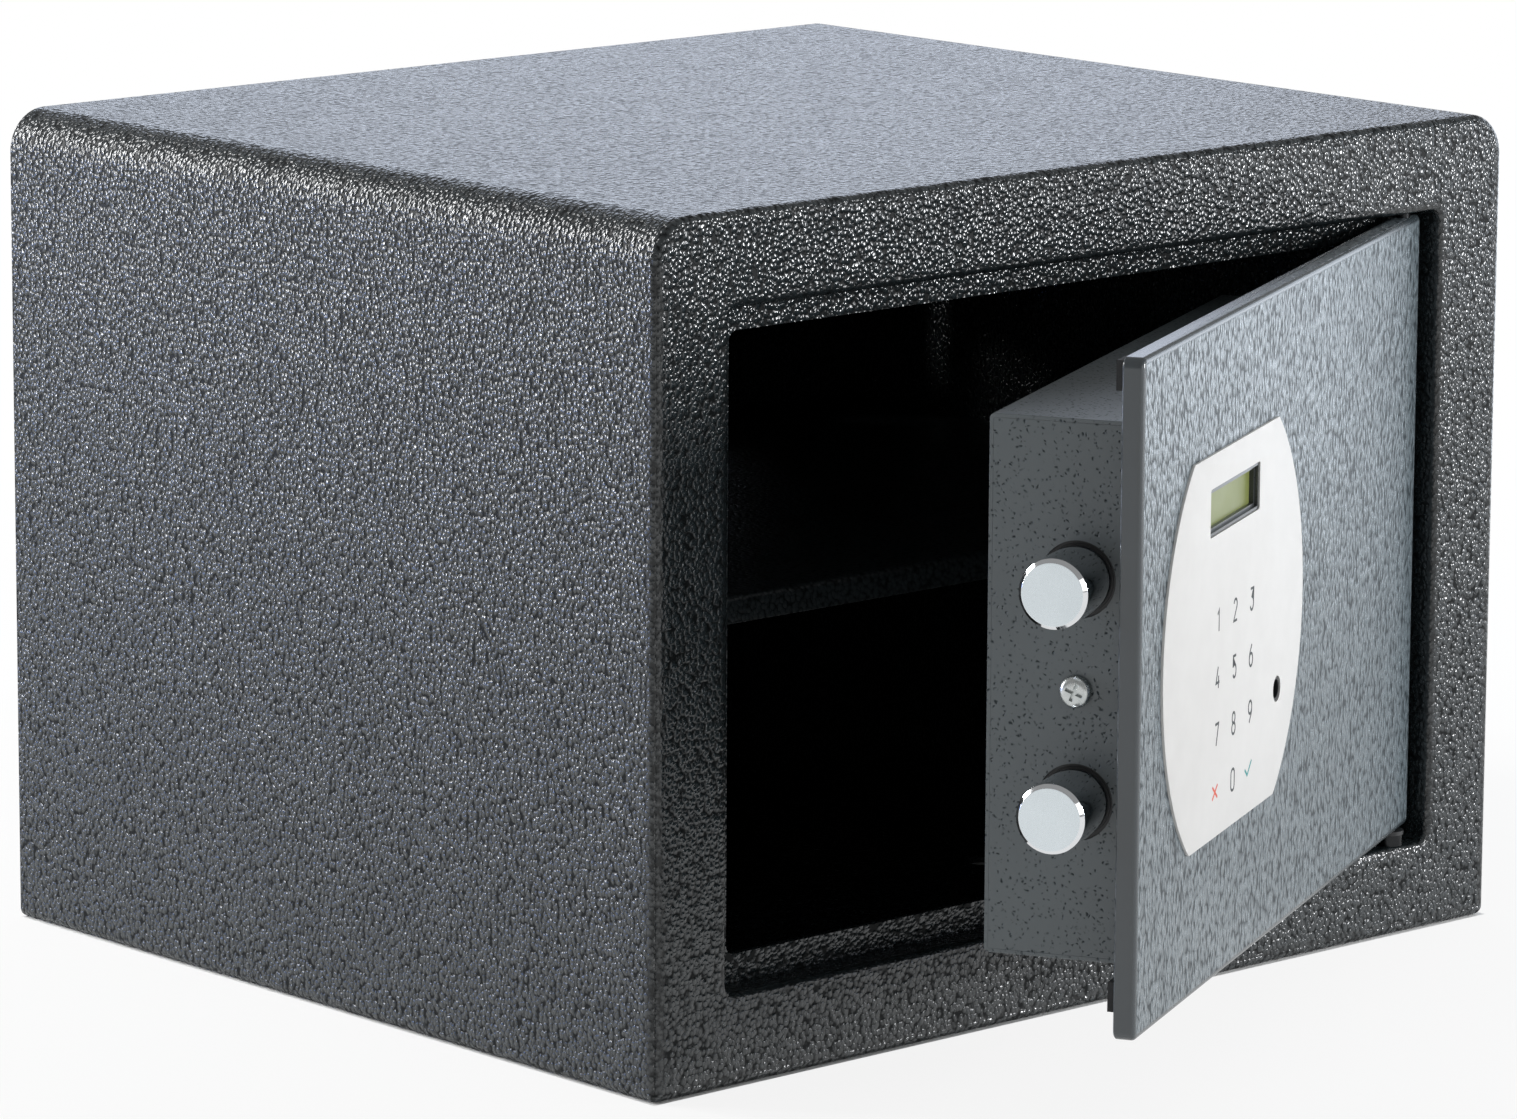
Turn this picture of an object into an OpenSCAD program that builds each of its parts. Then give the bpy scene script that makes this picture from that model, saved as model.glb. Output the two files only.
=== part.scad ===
// Free-standing safe: a sheet-steel cabinet, a door hung on two pins, and a bolt case and keypad on it.
// Millimetres. X runs along the front, Y from the front to the back, Z up.
// The origin lies under the middle of the cabinet, on the surface that it stands on.
// Everything on the door is drawn with the door shut, then turned open about the hinge.

/* [Cabinet] */
// Width over the sides
body_w = 350; // [330:5:450]
// Depth from the front face to the back
body_d = 300; // [240:5:400]
// Height from the ground to the top
body_h = 255; // [245:5:350]
// Sheet thickness of the cabinet
wall = 2; // [1.5:0.25:2.5]
// Radius of the two long upper edges
top_r = 13; // [8:1:20]
// Outer radius of the other bends
bend_r = 3; // [3:0.5:6]
// How far the lip of the front frame runs back to meet the sides
frame_lip = 8; // [7:0.5:14]
// Width of the fold under each side, next to the base panel
base_fold = 10; // [8:1:20]

/* [Anchor holes] */
// Diameter of the holes in the base and the back
anchor_d = 12; // [8:0.5:14]
// Distance between the two holes of a pair
anchor_pitch = 200; // [120:5:240]
// Height of the back pair above the ground
anchor_z = 178; // [150:1:200]

/* [Door opening] */
// Width of the front frame round the door
frame_w = 28; // [24:1:36]
// Corner radius of the opening
opening_r = 3; // [1:0.5:6]
// Radius of the bend into the opening
opening_bend_r = 2; // [1:0.25:2.5]
// Depth of the frame's own return into the opening
return_d = 5; // [4:0.5:6]
// Width of the stop that the door closes onto
stop_w = 8.3; // [7:0.1:9]

/* [Shelf] */
// Height of the shelf's upper face above the ground
shelf_z = 128.2; // [110:0.1:150]
// Room between the shut bolt case and the shelf
shelf_clear = 9.8; // [6:0.1:60]
// Sheet thickness of the shelf
shelf_t = 1.2; // [1:0.1:2]
// Height of the folded edges at the shelf's front and back
shelf_lip = 8.4; // [5:0.1:15]
// Gap between the shelf and each wall
shelf_gap = 0.8; // [0.3:0.1:2]
// Leg length of the angles under the shelf
angle_leg = 14; // [8:1:20]
// Sheet thickness of the angles
angle_t = 1.5; // [1:0.1:2.5]

/* [Door] */
// Gap at each side of the door
door_gap_side = 2; // [1.5:0.1:3]
// Gap under the door
door_gap_low = 5; // [4:0.1:7]
// Gap over the door
door_gap_top = 1.5; // [1:0.1:3]
// Thickness of the door plate
door_t = 6.2; // [5.6:0.1:8]
// How far the shut door lies behind the front face
door_recess = 1.5; // [0.8:0.1:3]
// Rounding of the door's front edges
door_edge_r = 1.5; // [0.5:0.1:2]
// Corner radius of the door's outline
door_corner_r = 3; // [2:0.5:6]
// Angle at which the door stands
door_open = 27.8; // [0:0.1:99]
// Widest angle that the door can be turned to
door_open_max = 100; // [90:1:110]
// Side of a rubber buffer
buffer_w = 8.5; // [6:0.5:10]
// Thickness of a rubber buffer
buffer_t = 2; // [1.5:0.1:3]
// Gap between a buffer and the stop when the door is shut
buffer_gap = 0.3; // [0.1:0.1:1]
// Height of the lower buffer above the door's bottom edge
buffer_low = 8; // [4:0.5:16]
// Distance of the upper buffer from the door's top edge
buffer_top = 0.9; // [0.5:0.1:16]

/* [Hinge] */
// Distance of the hinge line from the door's edge
hinge_inset = 10; // [8:0.5:14]
// Diameter of the hinge pins
pin_d = 4; // [3:0.1:4.2]
// How deep a pin goes into the door
pin_depth = 14; // [8:1:24]
// Running fit between a pin and the door, on the radius
pin_fit = 0.05; // [0.02:0.01:0.1]
// Diameter of the collar on the lower pin
collar_d = 8; // [7:0.5:9]
// Thickness of the washer under the door
washer_t = 1.2; // [0.8:0.1:2]
// Gap between the washer and the door
washer_gap = 0.3; // [0.2:0.05:0.5]
// Width of the blocks that hold the pins
block_w = 20; // [12:1:24]
// Height of the blocks
block_h = 10; // [6:1:14]

/* [Bolt case] */
// Distance of the case from the door's free edge
case_free = 14; // [13:0.1:20]
// Distance of the case from the door's hinge edge
case_hinge = 53; // [45:1:60]
// Distance of the case from the door's top edge
case_top = 20.3; // [16:0.1:24]
// Distance of the case from the door's bottom edge
case_low = 18.5; // [15:0.1:24]
// Depth of the case behind the door plate
case_d = 42.5; // [41:0.1:50]
// Sheet thickness of the case
case_t = 1.2; // [1:0.1:1.6]
// Width of the tabs that take the cover screws
tab_w = 14; // [11:0.5:16]

/* [Bolts] */
// Diameter of a bolt
bolt_d = 20; // [16:0.5:21]
// Distance between the two bolts
bolt_pitch = 63.3; // [56:0.1:72]
// How far the thrown bolts stand out of the case
bolt_out = 23.4; // [22:0.1:28]
// Travel of the bolts
bolt_travel = 21; // [18:0.5:21.5]
// Gap round a bolt in the side of the case
bolt_gap = 1; // [0.5:0.1:1.5]
// Chamfer at the tip of a bolt
bolt_chamfer = 1; // [0.5:0.1:2]
// Gap between the shut, thrown bolts and the door stop
bolt_play = 2; // [1:0.1:3]
// Running fit of a bolt in its guide, on the radius
guide_fit = 0.05; // [0.03:0.01:0.1]
// Length of the guide block
guide_l = 16; // [12:1:20]
// Thickness of the carriage plate that joins the bolts
carriage_t = 3; // [2:0.5:4]
// Gap between the guide block and the carriage when the bolts are thrown
carriage_gap = 2.8; // [1:0.1:5]

/* [Drive] */
// Gear module
gear_m = 1; // [0.8:0.1:1]
// Number of pinion teeth
gear_teeth = 12; // [12:1:13]
// Total play between the teeth
gear_play = 0.16; // [0.1:0.02:0.3]
// Width of the gear faces
gear_w = 8; // [6:0.5:10]
// Thickness of the rack behind its teeth
rack_t = 5; // [4:0.5:6]
// Diameter of the motor shaft
shaft_d = 3; // [2:0.5:4]
// Running fit of the shaft, on the radius
shaft_fit = 0.05; // [0.03:0.01:0.1]
// Width of the gear motor
motor_w = 12; // [10:0.5:14]
// Depth of the gear motor
motor_d = 10; // [8:0.5:11]
// Height of the gearbox
gearbox_h = 9; // [7:0.5:14]
// Height of the motor can
can_h = 15; // [12:0.5:20]
// Sheet thickness of the motor bracket
bracket_t = 1.5; // [1:0.1:2]

/* [Keypad] */
// Distance of the keypad's middle from the door's free edge
pad_x = 90.5; // [86:0.5:106]
// Height of the keypad's middle above the middle of the door
pad_z = 2.5; // [-4:0.5:6]
// Radius of the keypad's round sides
pad_r = 70.4; // [66:0.2:76]
// Height between the keypad's straight edges
pad_h = 112.2; // [108:0.1:118]
// Thickness of the printed overlay
overlay_t = 0.8; // [0.4:0.1:1.2]
// Width of the moulded insert behind the overlay
insert_w = 74; // [70:1:78]
// Height of the moulded insert
insert_h = 104; // [102:1:106]
// Gap round the insert
insert_gap = 0.2; // [0.1:0.05:0.4]
// Sideways offset of the keys and the insert from the keypad's middle
key_dx = 0; // [-2:0.5:1]
// Distance between key columns
key_pitch_x = 16.8; // [16:0.1:18]
// Distance between key rows
key_pitch_z = 16.6; // [15:0.1:17]
// Height of the first key row above the keypad's middle
key_row_z = 7; // [4:0.1:8]
// Diameter of a key plunger
key_d = 9; // [7:0.5:10]
// Travel of a key plunger
key_travel = 0.4; // [0.2:0.1:0.4]
// Gap round a key plunger
key_gap = 0.3; // [0.2:0.1:0.5]
// Width of the display window
lcd_w = 49.5; // [46:0.5:54]
// Height of the display window
lcd_h = 14; // [12:0.5:16]
// Height of the display's middle above the keypad's middle
lcd_z = 39.3; // [36:0.1:40]
// Width of the display's inner frame
bezel_w = 1.8; // [1:0.1:2.5]
// Diameter of the socket's hole in the overlay
jack_d = 7.7; // [6:0.1:8]
// Sideways distance of the socket from the keypad's middle
jack_dx = 44.5; // [43.5:0.5:50]
// Distance of the socket under the keypad's middle
jack_dz = 25; // [15:0.5:35]

/* [Electronics] */
// Width of the control board
board_w = 86; // [60:1:90]
// Height of the control board
board_h = 60; // [45:1:62]
// Thickness of the circuit boards
board_t = 1.6; // [1:0.1:1.6]
// Height of the posts under the control board
post_h = 3.6; // [3:0.1:6]
// Diameter of a battery cell
cell_d = 14.5; // [14:0.1:14.6]
// Length of a battery cell
cell_l = 50.5; // [50:0.1:51]
// Wall of the battery tray
tray_t = 1.5; // [1:0.1:2]
// Thickness of a battery contact
contact_t = 1.2; // [0.6:0.1:2]
// Gap round a battery cell
cell_gap = 0.3; // [0.2:0.05:0.4]
// Diameter of the code button
button_d = 5; // [4:0.5:6]
// Travel of the code button
button_travel = 1.5; // [1:0.1:1.5]

/* [Hidden] */
$fn = 48;
// Overshoot of a cut past the face that it leaves
cut = 1;
// Clearance of fixed screws and pins in their holes, on the radius
hole_fit = 0.05;

// Cabinet places
front_y = -body_d / 2;
back_y = body_d / 2;
weld_y = front_y + frame_lip;
opening_hw = body_w / 2 - frame_w;
opening_z0 = frame_w;
opening_z1 = body_h - frame_w;

// Door places, with the door shut
door_x0 = -opening_hw + door_gap_side;
door_x1 = opening_hw - door_gap_side;
door_z0 = opening_z0 + door_gap_low;
door_z1 = opening_z1 - door_gap_top;
door_mid_z = (door_z0 + door_z1) / 2;
door_y0 = front_y + door_recess;
door_y1 = door_y0 + door_t;
hinge_x = door_x1 - hinge_inset;
hinge_y = (door_y0 + door_y1) / 2;

// Door stop, and the pocket in it that the door's hinge edge swings through
stop_y0 = door_y1 + buffer_t + buffer_gap;
stop_y1 = stop_y0 + wall;
swing_r = sqrt(pow(hinge_inset, 2) + pow(door_t / 2, 2));
swing_a = atan(door_t / 2 / hinge_inset);
pocket_gap = 0.3;
pocket_room = 1.5;
pocket_x = hinge_x + swing_r * cos(door_open_max + swing_a) - pocket_gap;
pocket_y0 = hinge_y + swing_r + pocket_room;
pocket_y1 = pocket_y0 + wall;
pin_end_gap = 0.5;
washer_rim = 0.3;
buffer_side = 1;

// Bolt case places
case_x0 = door_x0 + case_free;
case_x1 = door_x1 - case_hinge;
case_z0 = door_z0 + case_low;
case_z1 = door_z1 - case_top;
case_y0 = door_y1;
case_y1 = door_y1 + case_d;
case_mid_z = (case_z0 + case_z1) / 2;
sheet_y = case_y0 + case_t;
cover_y = case_y1 - case_t;
tab_h = 16;
cover_screw_rise = 8;
cover_screw_tail = 1;
screw_d = 3;
screw_head_d = 5.5;
screw_head_h = 1.8;

// Shelf places
shelf_y0 = case_y1 + shelf_clear;
shelf_y1 = back_y - wall - shelf_gap;
shelf_hw = body_w / 2 - wall - shelf_gap;
angle_inset = 4 * shelf_t;

// Bolt places, with the bolts thrown
bolt_y = stop_y1 + bolt_play + bolt_d / 2;
bolt_z = [case_mid_z - bolt_pitch / 2, case_mid_z + bolt_pitch / 2];
guide_x0 = case_x0 + case_t;
guide_x1 = guide_x0 + guide_l;
guide_rim = 4;
carriage_x0 = guide_x1 + carriage_gap;
carriage_x1 = carriage_x0 + carriage_t;
carriage_rim = 2;
carriage_hw = bolt_d / 2 + carriage_rim;
bolt_screw_d = 5;
bolt_screw_l = 16;
bolt_head_d = 8.5;
bolt_head_h = 4;
side_screw_d = 4.5;
side_screw_end = 2;
side_head_d = 9.2;
side_head_h = 2.6;
side_head_edge = 0.8;

// Drive places
pitch_r = gear_m * gear_teeth / 2;
tip_r = pitch_r + gear_m;
root_r = pitch_r - 1.25 * gear_m;
pressure_a = 20;
base_r = pitch_r * cos(pressure_a);
rack_add = 0.65 * gear_m;
rack_ded = 1.25 * gear_m;
tooth_pitch = PI * gear_m;
foot_t = 2;
foot_h = 20;
foot_x1 = carriage_x1 + foot_t;
drive_room = 6;
drive_x = foot_x1 + bolt_travel + tip_r + drive_room;
rack_teeth_side = 2;
rack_x1 = drive_x + (rack_teeth_side + 0.5) * tooth_pitch;
rack_offset = 1;
rack_line_y = bolt_y + rack_offset;
drive_y = rack_line_y + pitch_r;
gear_z0 = case_mid_z - gear_w / 2;
gear_z1 = case_mid_z + gear_w / 2;
gear_core_gap = 0.1;
hub_step = 0.75;
hub_rise = 1;
motor_gap = 3;
motor_z0 = gear_z1 + motor_gap;
shaft_in = 5;
shaft_end_gap = 0.5;
end_boss_d = 4;
end_boss_h = 1;
bracket_side = 3;
bracket_hw = motor_w / 2 + bracket_side;
bracket_y0 = drive_y - motor_d / 2 - bracket_t;
bracket_drop = 16;
bracket_top = case_z1 - bracket_drop;
bracket_foot = 12;
bracket_screw_inset = 4;
bracket_hole_gap = 0.5;

// Keypad places
pad_cx = door_x0 + pad_x;
pad_cz = door_mid_z + pad_z;
insert_cx = pad_cx + key_dx;
insert_back = 1.2;
insert_t = door_t - insert_back;
insert_y1 = door_y0 + insert_t;
mat_t = 0.4;
mat_gap = 0.2;
mat_rim = 1;
mat_y0 = insert_y1 + mat_gap;
board_y0 = mat_y0 + mat_t;
pad_board_gap = 1;
pad_screw_d = 2;
pad_screw_inset = 4;
pad_screw_l = 2.8;
pad_hole_l = 3;
pad_head_d = 4;
pad_head_h = 1.2;
key_stem_d = 3;
key_flange_t = 2.4;
key_end_gap = 0.2;
key_rest_gap = 0.1;
key_y0 = door_y0 + key_rest_gap;
key_y1 = mat_y0 - key_travel - key_rest_gap;
lcd_dx = -1.7;
lcd_cx = insert_cx + lcd_dx;
lcd_cz = pad_cz + lcd_z;
lcd_sink = 1.9;
lcd_face_y = door_y0 + lcd_sink;
lcd_glass_t = 1.1;
lcd_glass_inset = 0.3;
lcd_module_inset = 0.8;
bezel_fit = 0.1;
bezel_step = 0.6;
jack_x = pad_cx + jack_dx;
jack_z = pad_cz - jack_dz;
jack_nose_gap = 0.2;
jack_body_d = 9.4;
jack_bore_d = 5.6;
jack_tail = 6;
jack_body_l = door_t + jack_tail;
jack_end_t = 1.5;
jack_contact_d = 2;
jack_contact_tail = 2.5;

// Places of what the case holds beside the drive
board_inset = 6;
board_x1 = case_x1 - case_t - board_inset;
board_z1 = case_z1 - case_t - board_inset;
board_screw_inset = 5;
post_d = 6;
relay = [20, 15, 16];
relay_x = 14;
chip = [26, 2.5, 14];
capacitor_d = 8;
capacitor_h = 11;
capacitor_x = 22;
capacitor_pitch = 12;
capacitor_drop = 9;
plug = [10, 7, 7];
plug_x = 20;
plug_pitch = 16;
plug_z = 2;
control_y0 = sheet_y + post_h;
tray_in_w = cell_l + 2 * contact_t + 2 * cell_gap;
tray_in_h = 4 * cell_d + 5 * cell_gap;
tray_side = 1;
tray_x1 = case_x1 - case_t - tab_w - tray_side;
tray_cx = tray_x1 - tray_t - tray_in_w / 2;
tray_rise = 9;
tray_z0 = case_z0 + tray_rise;
tray_cz = tray_z0 + tray_t + tray_in_h / 2;
tray_y0 = cover_y - cell_d - 2 * cell_gap - tray_t;
cell_y = tray_y0 + tray_t + cell_gap + cell_d / 2;
cell_tip_d = 5.5;
cell_tip_l = 1;
contact_hw = 5;
lid_lap = 4;
lid_t = 2;
lid_rim_t = 1;
button_dx = 12;
button_drop = 22;
button_x = tray_cx + button_dx;
button_z = board_z1 - button_drop;
button_flange_d = 12;
button_flange_t = 1;
button_rise = 2;
button_back = 11;
bush_wall = 2;
bush_d = button_d + 2 * bush_wall;
bush_end_t = 1.5;
bush_nut_t = 2;
cap_end_gap = 0.4;

// Turns what is drawn with the door shut to where the door stands
module on_door() {
    translate([hinge_x, hinge_y, 0]) rotate([0, 0, door_open]) translate([-hinge_x, -hinge_y, 0]) children();
}

// A flat shape in X and Z, made solid from y0 to y1
module slab(y0, y1) {
    translate([0, y1, 0]) rotate([90, 0, 0]) linear_extrude(y1 - y0) children();
}

// A box between two corners
module box(p0, p1) {
    translate(p0) cube(p1 - p0);
}

// A rod along Y
module rod_y(x, z, y0, y1, d) {
    translate([x, y1, z]) rotate([90, 0, 0]) cylinder(d = d, h = y1 - y0);
}

// A rod along X
module rod_x(y, z, x0, x1, d) {
    translate([x0, y, z]) rotate([0, 90, 0]) cylinder(d = d, h = x1 - x0);
}

// A corner disc of an outline, or nothing where the corner is sharp
module corner_disc(x, z, r) {
    if (r > 0) translate([x, z]) circle(r);
}

// An upright outline, hw to each side of the middle, with its own radii at the top and the bottom
module outline(hw, z0, z1, r_top, r_low) {
    translate([-hw, z0 + r_low]) square([2 * hw, z1 - z0 - r_top - r_low]);
    translate([-hw + r_top, z1 - r_top - cut]) square([2 * (hw - r_top), r_top + cut]);
    translate([-hw + r_low, z0]) square([2 * (hw - r_low), r_low + cut]);
    for (side = [-1, 1]) {
        corner_disc(side * (hw - r_top), z1 - r_top, r_top);
        corner_disc(side * (hw - r_low), z0 + r_low, r_low);
    }
}

// A quarter of a round bar's bend, or the ball that closes a sharp corner
module bar_corner(r_line, r_bar, turn) {
    if (r_line > 0)
        rotate([0, -turn, 0]) rotate([90, 0, 0]) rotate_extrude(angle = 90) translate([r_line, 0]) circle(r_bar);
    else
        sphere(r_bar);
}

// A round bar bent to the same kind of outline, its centre line on it, in the plane of y = 0
module bar_loop(hw, z0, z1, r_top, r_low, r_bar) {
    for (side = [-1, 1])
        translate([side * hw, 0, z0 + r_low]) cylinder(r = r_bar, h = z1 - z0 - r_top - r_low);
    rod_x(0, z1, -hw + r_top, hw - r_top, 2 * r_bar);
    rod_x(0, z0, -hw + r_low, hw - r_low, 2 * r_bar);
    translate([hw - r_top, 0, z1 - r_top]) bar_corner(r_top, r_bar, 0);
    translate([-hw + r_top, 0, z1 - r_top]) bar_corner(r_top, r_bar, 90);
    translate([-hw + r_low, 0, z0 + r_low]) bar_corner(r_low, r_bar, 180);
    translate([hw - r_low, 0, z0 + r_low]) bar_corner(r_low, r_bar, 270);
}

// A thick plate of that outline whose front edges are rounded
module rounded_plate(hw, z0, z1, r_top, r_low, y0, y1, edge_r) {
    slab(y0 + edge_r, y1) outline(hw, z0, z1, r_top, r_low);
    slab(y0, y1) outline(hw - edge_r, z0 + edge_r, z1 - edge_r, r_top - edge_r, r_low - edge_r);
    translate([0, y0 + edge_r, 0])
        bar_loop(hw - edge_r, z0 + edge_r, z1 - edge_r, r_top - edge_r, r_low - edge_r, edge_r);
}

// The cabinet's outline, drawn in by a distance
module body_outline(inset) {
    outline(body_w / 2 - inset, inset, body_h - inset, top_r - inset, bend_r - inset);
}

// The opening's outline, grown by a distance
module opening_outline(grow) {
    outline(opening_hw + grow, opening_z0 - grow, opening_z1 + grow, opening_r + grow, opening_r + grow);
}

// The holes that the hinge pins pass through at both ends of the opening
module hinge_pin_holes() {
    z0 = opening_z0 - wall - block_h - cut;
    z1 = opening_z1 + wall + block_h + cut;
    translate([hinge_x, hinge_y, z0]) cylinder(d = pin_d + 2 * hole_fit, h = z1 - z0);
}

// Front frame: face, lip round the outside and return into the opening
module front_frame() {
    color("dimgray") difference() {
        union() {
            difference() {
                rounded_plate(body_w / 2, 0, body_h, top_r, bend_r, front_y, weld_y, bend_r);
                rounded_plate(body_w / 2 - wall, wall, body_h - wall, top_r - wall, bend_r - wall,
                    front_y + wall, weld_y + cut, bend_r - wall);
            }
            slab(front_y + opening_bend_r, front_y + return_d) opening_outline(wall);
        }
        slab(front_y - cut, weld_y + cut) opening_outline(0);
        difference() {
            slab(front_y - cut, front_y + opening_bend_r) opening_outline(opening_bend_r);
            translate([0, front_y + opening_bend_r, 0])
                bar_loop(opening_hw + opening_bend_r, opening_z0 - opening_bend_r, opening_z1 + opening_bend_r,
                    opening_r + opening_bend_r, opening_r + opening_bend_r, opening_bend_r);
        }
        hinge_pin_holes();
    }
}

// The stop's own width, as a flat ring inside the opening
module stop_face() {
    difference() {
        opening_outline(wall);
        outline(opening_hw - stop_w, opening_z0 + stop_w, opening_z1 - stop_w, opening_r, opening_r);
    }
}

// Keeps what lies on the hinge side of x
module hinge_side_of(x) {
    intersection() {
        children();
        translate([x, 0]) square([body_w, body_h]);
    }
}

// Stop ring: carries the return on inwards and turns in as the stop, set back in a pocket at the hinge
module stop_ring() {
    color("dimgray") difference() {
        union() {
            slab(front_y + return_d, stop_y1) difference() {
                opening_outline(wall);
                opening_outline(0);
            }
            slab(stop_y0, stop_y1) difference() {
                stop_face();
                translate([pocket_x, 0]) square([body_w, body_h]);
            }
            slab(stop_y0, pocket_y1) hinge_side_of(pocket_x - wall) difference() {
                stop_face();
                translate([pocket_x, opening_z0]) square([opening_hw - pocket_x, opening_z1 - opening_z0]);
            }
            slab(pocket_y0, pocket_y1) hinge_side_of(pocket_x - wall) stop_face();
        }
        hinge_pin_holes();
    }
}

// The strip of the underside that the base panel fills
module base_gap() {
    translate([-body_w / 2 + base_fold, 0]) square([body_w - 2 * base_fold, wall]);
}

// Body wrap: both sides, the top and a fold under each side, of one sheet
module body_wrap() {
    color("dimgray") slab(weld_y, back_y) difference() {
        body_outline(0);
        body_outline(wall);
        base_gap();
    }
}

// Base panel, with two anchor holes
module base_panel() {
    color("dimgray") difference() {
        slab(weld_y, back_y) base_gap();
        for (side = [-1, 1])
            translate([side * anchor_pitch / 2, 0, -cut]) cylinder(d = anchor_d, h = wall + 2 * cut);
    }
}

// Back panel, inside the wrap, with two anchor holes
module back_panel() {
    color("dimgray") difference() {
        slab(back_y - wall, back_y) body_outline(wall);
        for (side = [-1, 1])
            rod_y(side * anchor_pitch / 2, anchor_z, back_y - wall - cut, back_y + cut, anchor_d);
    }
}

// Shelf with a folded edge at the front and the back
module shelf() {
    color("#2b2d2f") {
        box([-shelf_hw, shelf_y0, shelf_z - shelf_t], [shelf_hw, shelf_y1, shelf_z]);
        box([-shelf_hw, shelf_y0, shelf_z - shelf_lip], [shelf_hw, shelf_y0 + shelf_t, shelf_z]);
        box([-shelf_hw, shelf_y1 - shelf_t, shelf_z - shelf_lip], [shelf_hw, shelf_y1, shelf_z]);
    }
}

// The two angles on the side walls that the shelf lies on
module shelf_angles() {
    y0 = shelf_y0 + angle_inset;
    y1 = shelf_y1 - angle_inset;
    top = shelf_z - shelf_t;
    inner = body_w / 2 - wall;
    color("#2b2d2f") for (side = [0, 1]) mirror([side, 0, 0]) {
        box([inner - angle_leg, y0, top - angle_t], [inner, y1, top]);
        box([inner - angle_t, y0, top - angle_leg], [inner, y1, top]);
    }
}

// The two blocks behind the return that hold the hinge pins
module hinge_blocks() {
    y0 = front_y + wall;
    color("dimgray") difference() {
        for (z = [opening_z0 - wall - block_h, opening_z1 + wall])
            box([hinge_x - block_w / 2, y0, z], [hinge_x + block_w / 2, pocket_y1, z + block_h]);
        hinge_pin_holes();
    }
}

// Hinge pins: the lower one carries the door on its collar
module hinge_pins() {
    low0 = opening_z0 - wall - block_h;
    low1 = door_z0 + pin_depth - pin_end_gap;
    up0 = door_z1 - pin_depth + pin_end_gap;
    up1 = opening_z1 + wall + block_h;
    color("silver") {
        translate([hinge_x, hinge_y, low0]) cylinder(d = pin_d, h = low1 - low0);
        translate([hinge_x, hinge_y, opening_z0])
            cylinder(d = collar_d, h = door_gap_low - washer_t - washer_gap);
        translate([hinge_x, hinge_y, up0]) cylinder(d = pin_d, h = up1 - up0);
    }
}

// Washer on the collar, just under the door
module thrust_washer() {
    color("#161616") translate([hinge_x, hinge_y, door_z0 - washer_gap - washer_t]) difference() {
        cylinder(d = collar_d + 2 * washer_rim, h = washer_t);
        translate([0, 0, -cut]) cylinder(d = pin_d + 4 * pin_fit, h = washer_t + 2 * cut);
    }
}

// The rectangle cut out of the door and the case sheet for the keypad's insert
module insert_cut(y0, y1) {
    box([insert_cx - insert_w / 2, y0, pad_cz - insert_h / 2],
        [insert_cx + insert_w / 2, y1, pad_cz + insert_h / 2]);
}

// Door plate with rounded front edges
module door_plate() {
    color("darkgray") on_door() difference() {
        rounded_plate(door_x1, door_z0, door_z1, door_corner_r, door_corner_r, door_y0, door_y1, door_edge_r);
        for (z = [door_z0 - cut, door_z1 - pin_depth])
            translate([hinge_x, hinge_y, z]) cylinder(d = pin_d + 2 * pin_fit, h = pin_depth + cut);
        insert_cut(door_y0 - cut, door_y1 + cut);
        rod_y(jack_x, jack_z, door_y0 - cut, door_y1 + cut, jack_body_d + 2 * hole_fit);
    }
}

// Rubber buffers on the back of the door, at its free edge
module rubber_buffers() {
    x0 = door_x0 + buffer_side;
    color("#161616") on_door() for (z = [door_z0 + buffer_low, door_z1 - buffer_top - buffer_w])
        box([x0, door_y1, z], [x0 + buffer_w, door_y1 + buffer_t, z + buffer_w]);
}

// Where the four cover screws go
module at_cover_screws() {
    inset = case_t + tab_w / 2;
    for (x = [case_x0 + inset, case_x1 - inset], z = [case_z0 + cover_screw_rise, case_z1 - cover_screw_rise])
        translate([x, 0, z]) children();
}

// The tray's mouth in the cover, grown by a distance
module tray_mouth(y0, y1, grow) {
    box([tray_cx - tray_in_w / 2 - grow, y0, tray_cz - tray_in_h / 2 - grow],
        [tray_cx + tray_in_w / 2 + grow, y1, tray_cz + tray_in_h / 2 + grow]);
}

// Inner sheet of the bolt case: the base on the door, both ends, and a tab in each corner
module lock_bracket() {
    z0 = case_z0 + case_t;
    z1 = case_z1 - case_t;
    color("#4f5759") on_door() difference() {
        union() {
            box([case_x0, case_y0, z0], [case_x1, sheet_y, z1]);
            for (x = [case_x0, case_x1 - case_t]) box([x, case_y0, z0], [x + case_t, cover_y, z1]);
            for (x = [case_x0, case_x1 - case_t - tab_w], z = [z0, z1 - tab_h])
                box([x, cover_y - case_t, z], [x + tab_w + case_t, cover_y, z + tab_h]);
        }
        for (z = bolt_z) rod_x(bolt_y, z, case_x0 - cut, case_x0 + case_t + cut, bolt_d + 2 * bolt_gap);
        rod_x(bolt_y, case_mid_z, case_x0 - cut, case_x0 + case_t + cut, side_screw_d + 2 * hole_fit);
        insert_cut(case_y0 - cut, sheet_y + cut);
        rod_y(jack_x, jack_z, case_y0 - cut, sheet_y + cut, jack_body_d + 2 * hole_fit);
        at_cover_screws() rod_y(0, 0, cover_y - case_t - cut, cover_y + cut, screw_d + 2 * hole_fit);
    }
}

// Outer sheet of the bolt case: top, back and bottom, lapped over the ends
module case_cover() {
    color("#59646d") on_door() difference() {
        union() {
            box([case_x0, case_y0, case_z0], [case_x1, case_y1, case_z0 + case_t]);
            box([case_x0, case_y0, case_z1 - case_t], [case_x1, case_y1, case_z1]);
            box([case_x0, cover_y, case_z0], [case_x1, case_y1, case_z1]);
        }
        tray_mouth(cover_y - cut, case_y1 + cut, 0);
        at_cover_screws() rod_y(0, 0, cover_y - cut, case_y1 + cut, screw_d + 2 * hole_fit);
        rod_y(button_x, button_z, cover_y - cut, case_y1 + cut, bush_d + 2 * hole_fit);
    }
}

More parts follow.
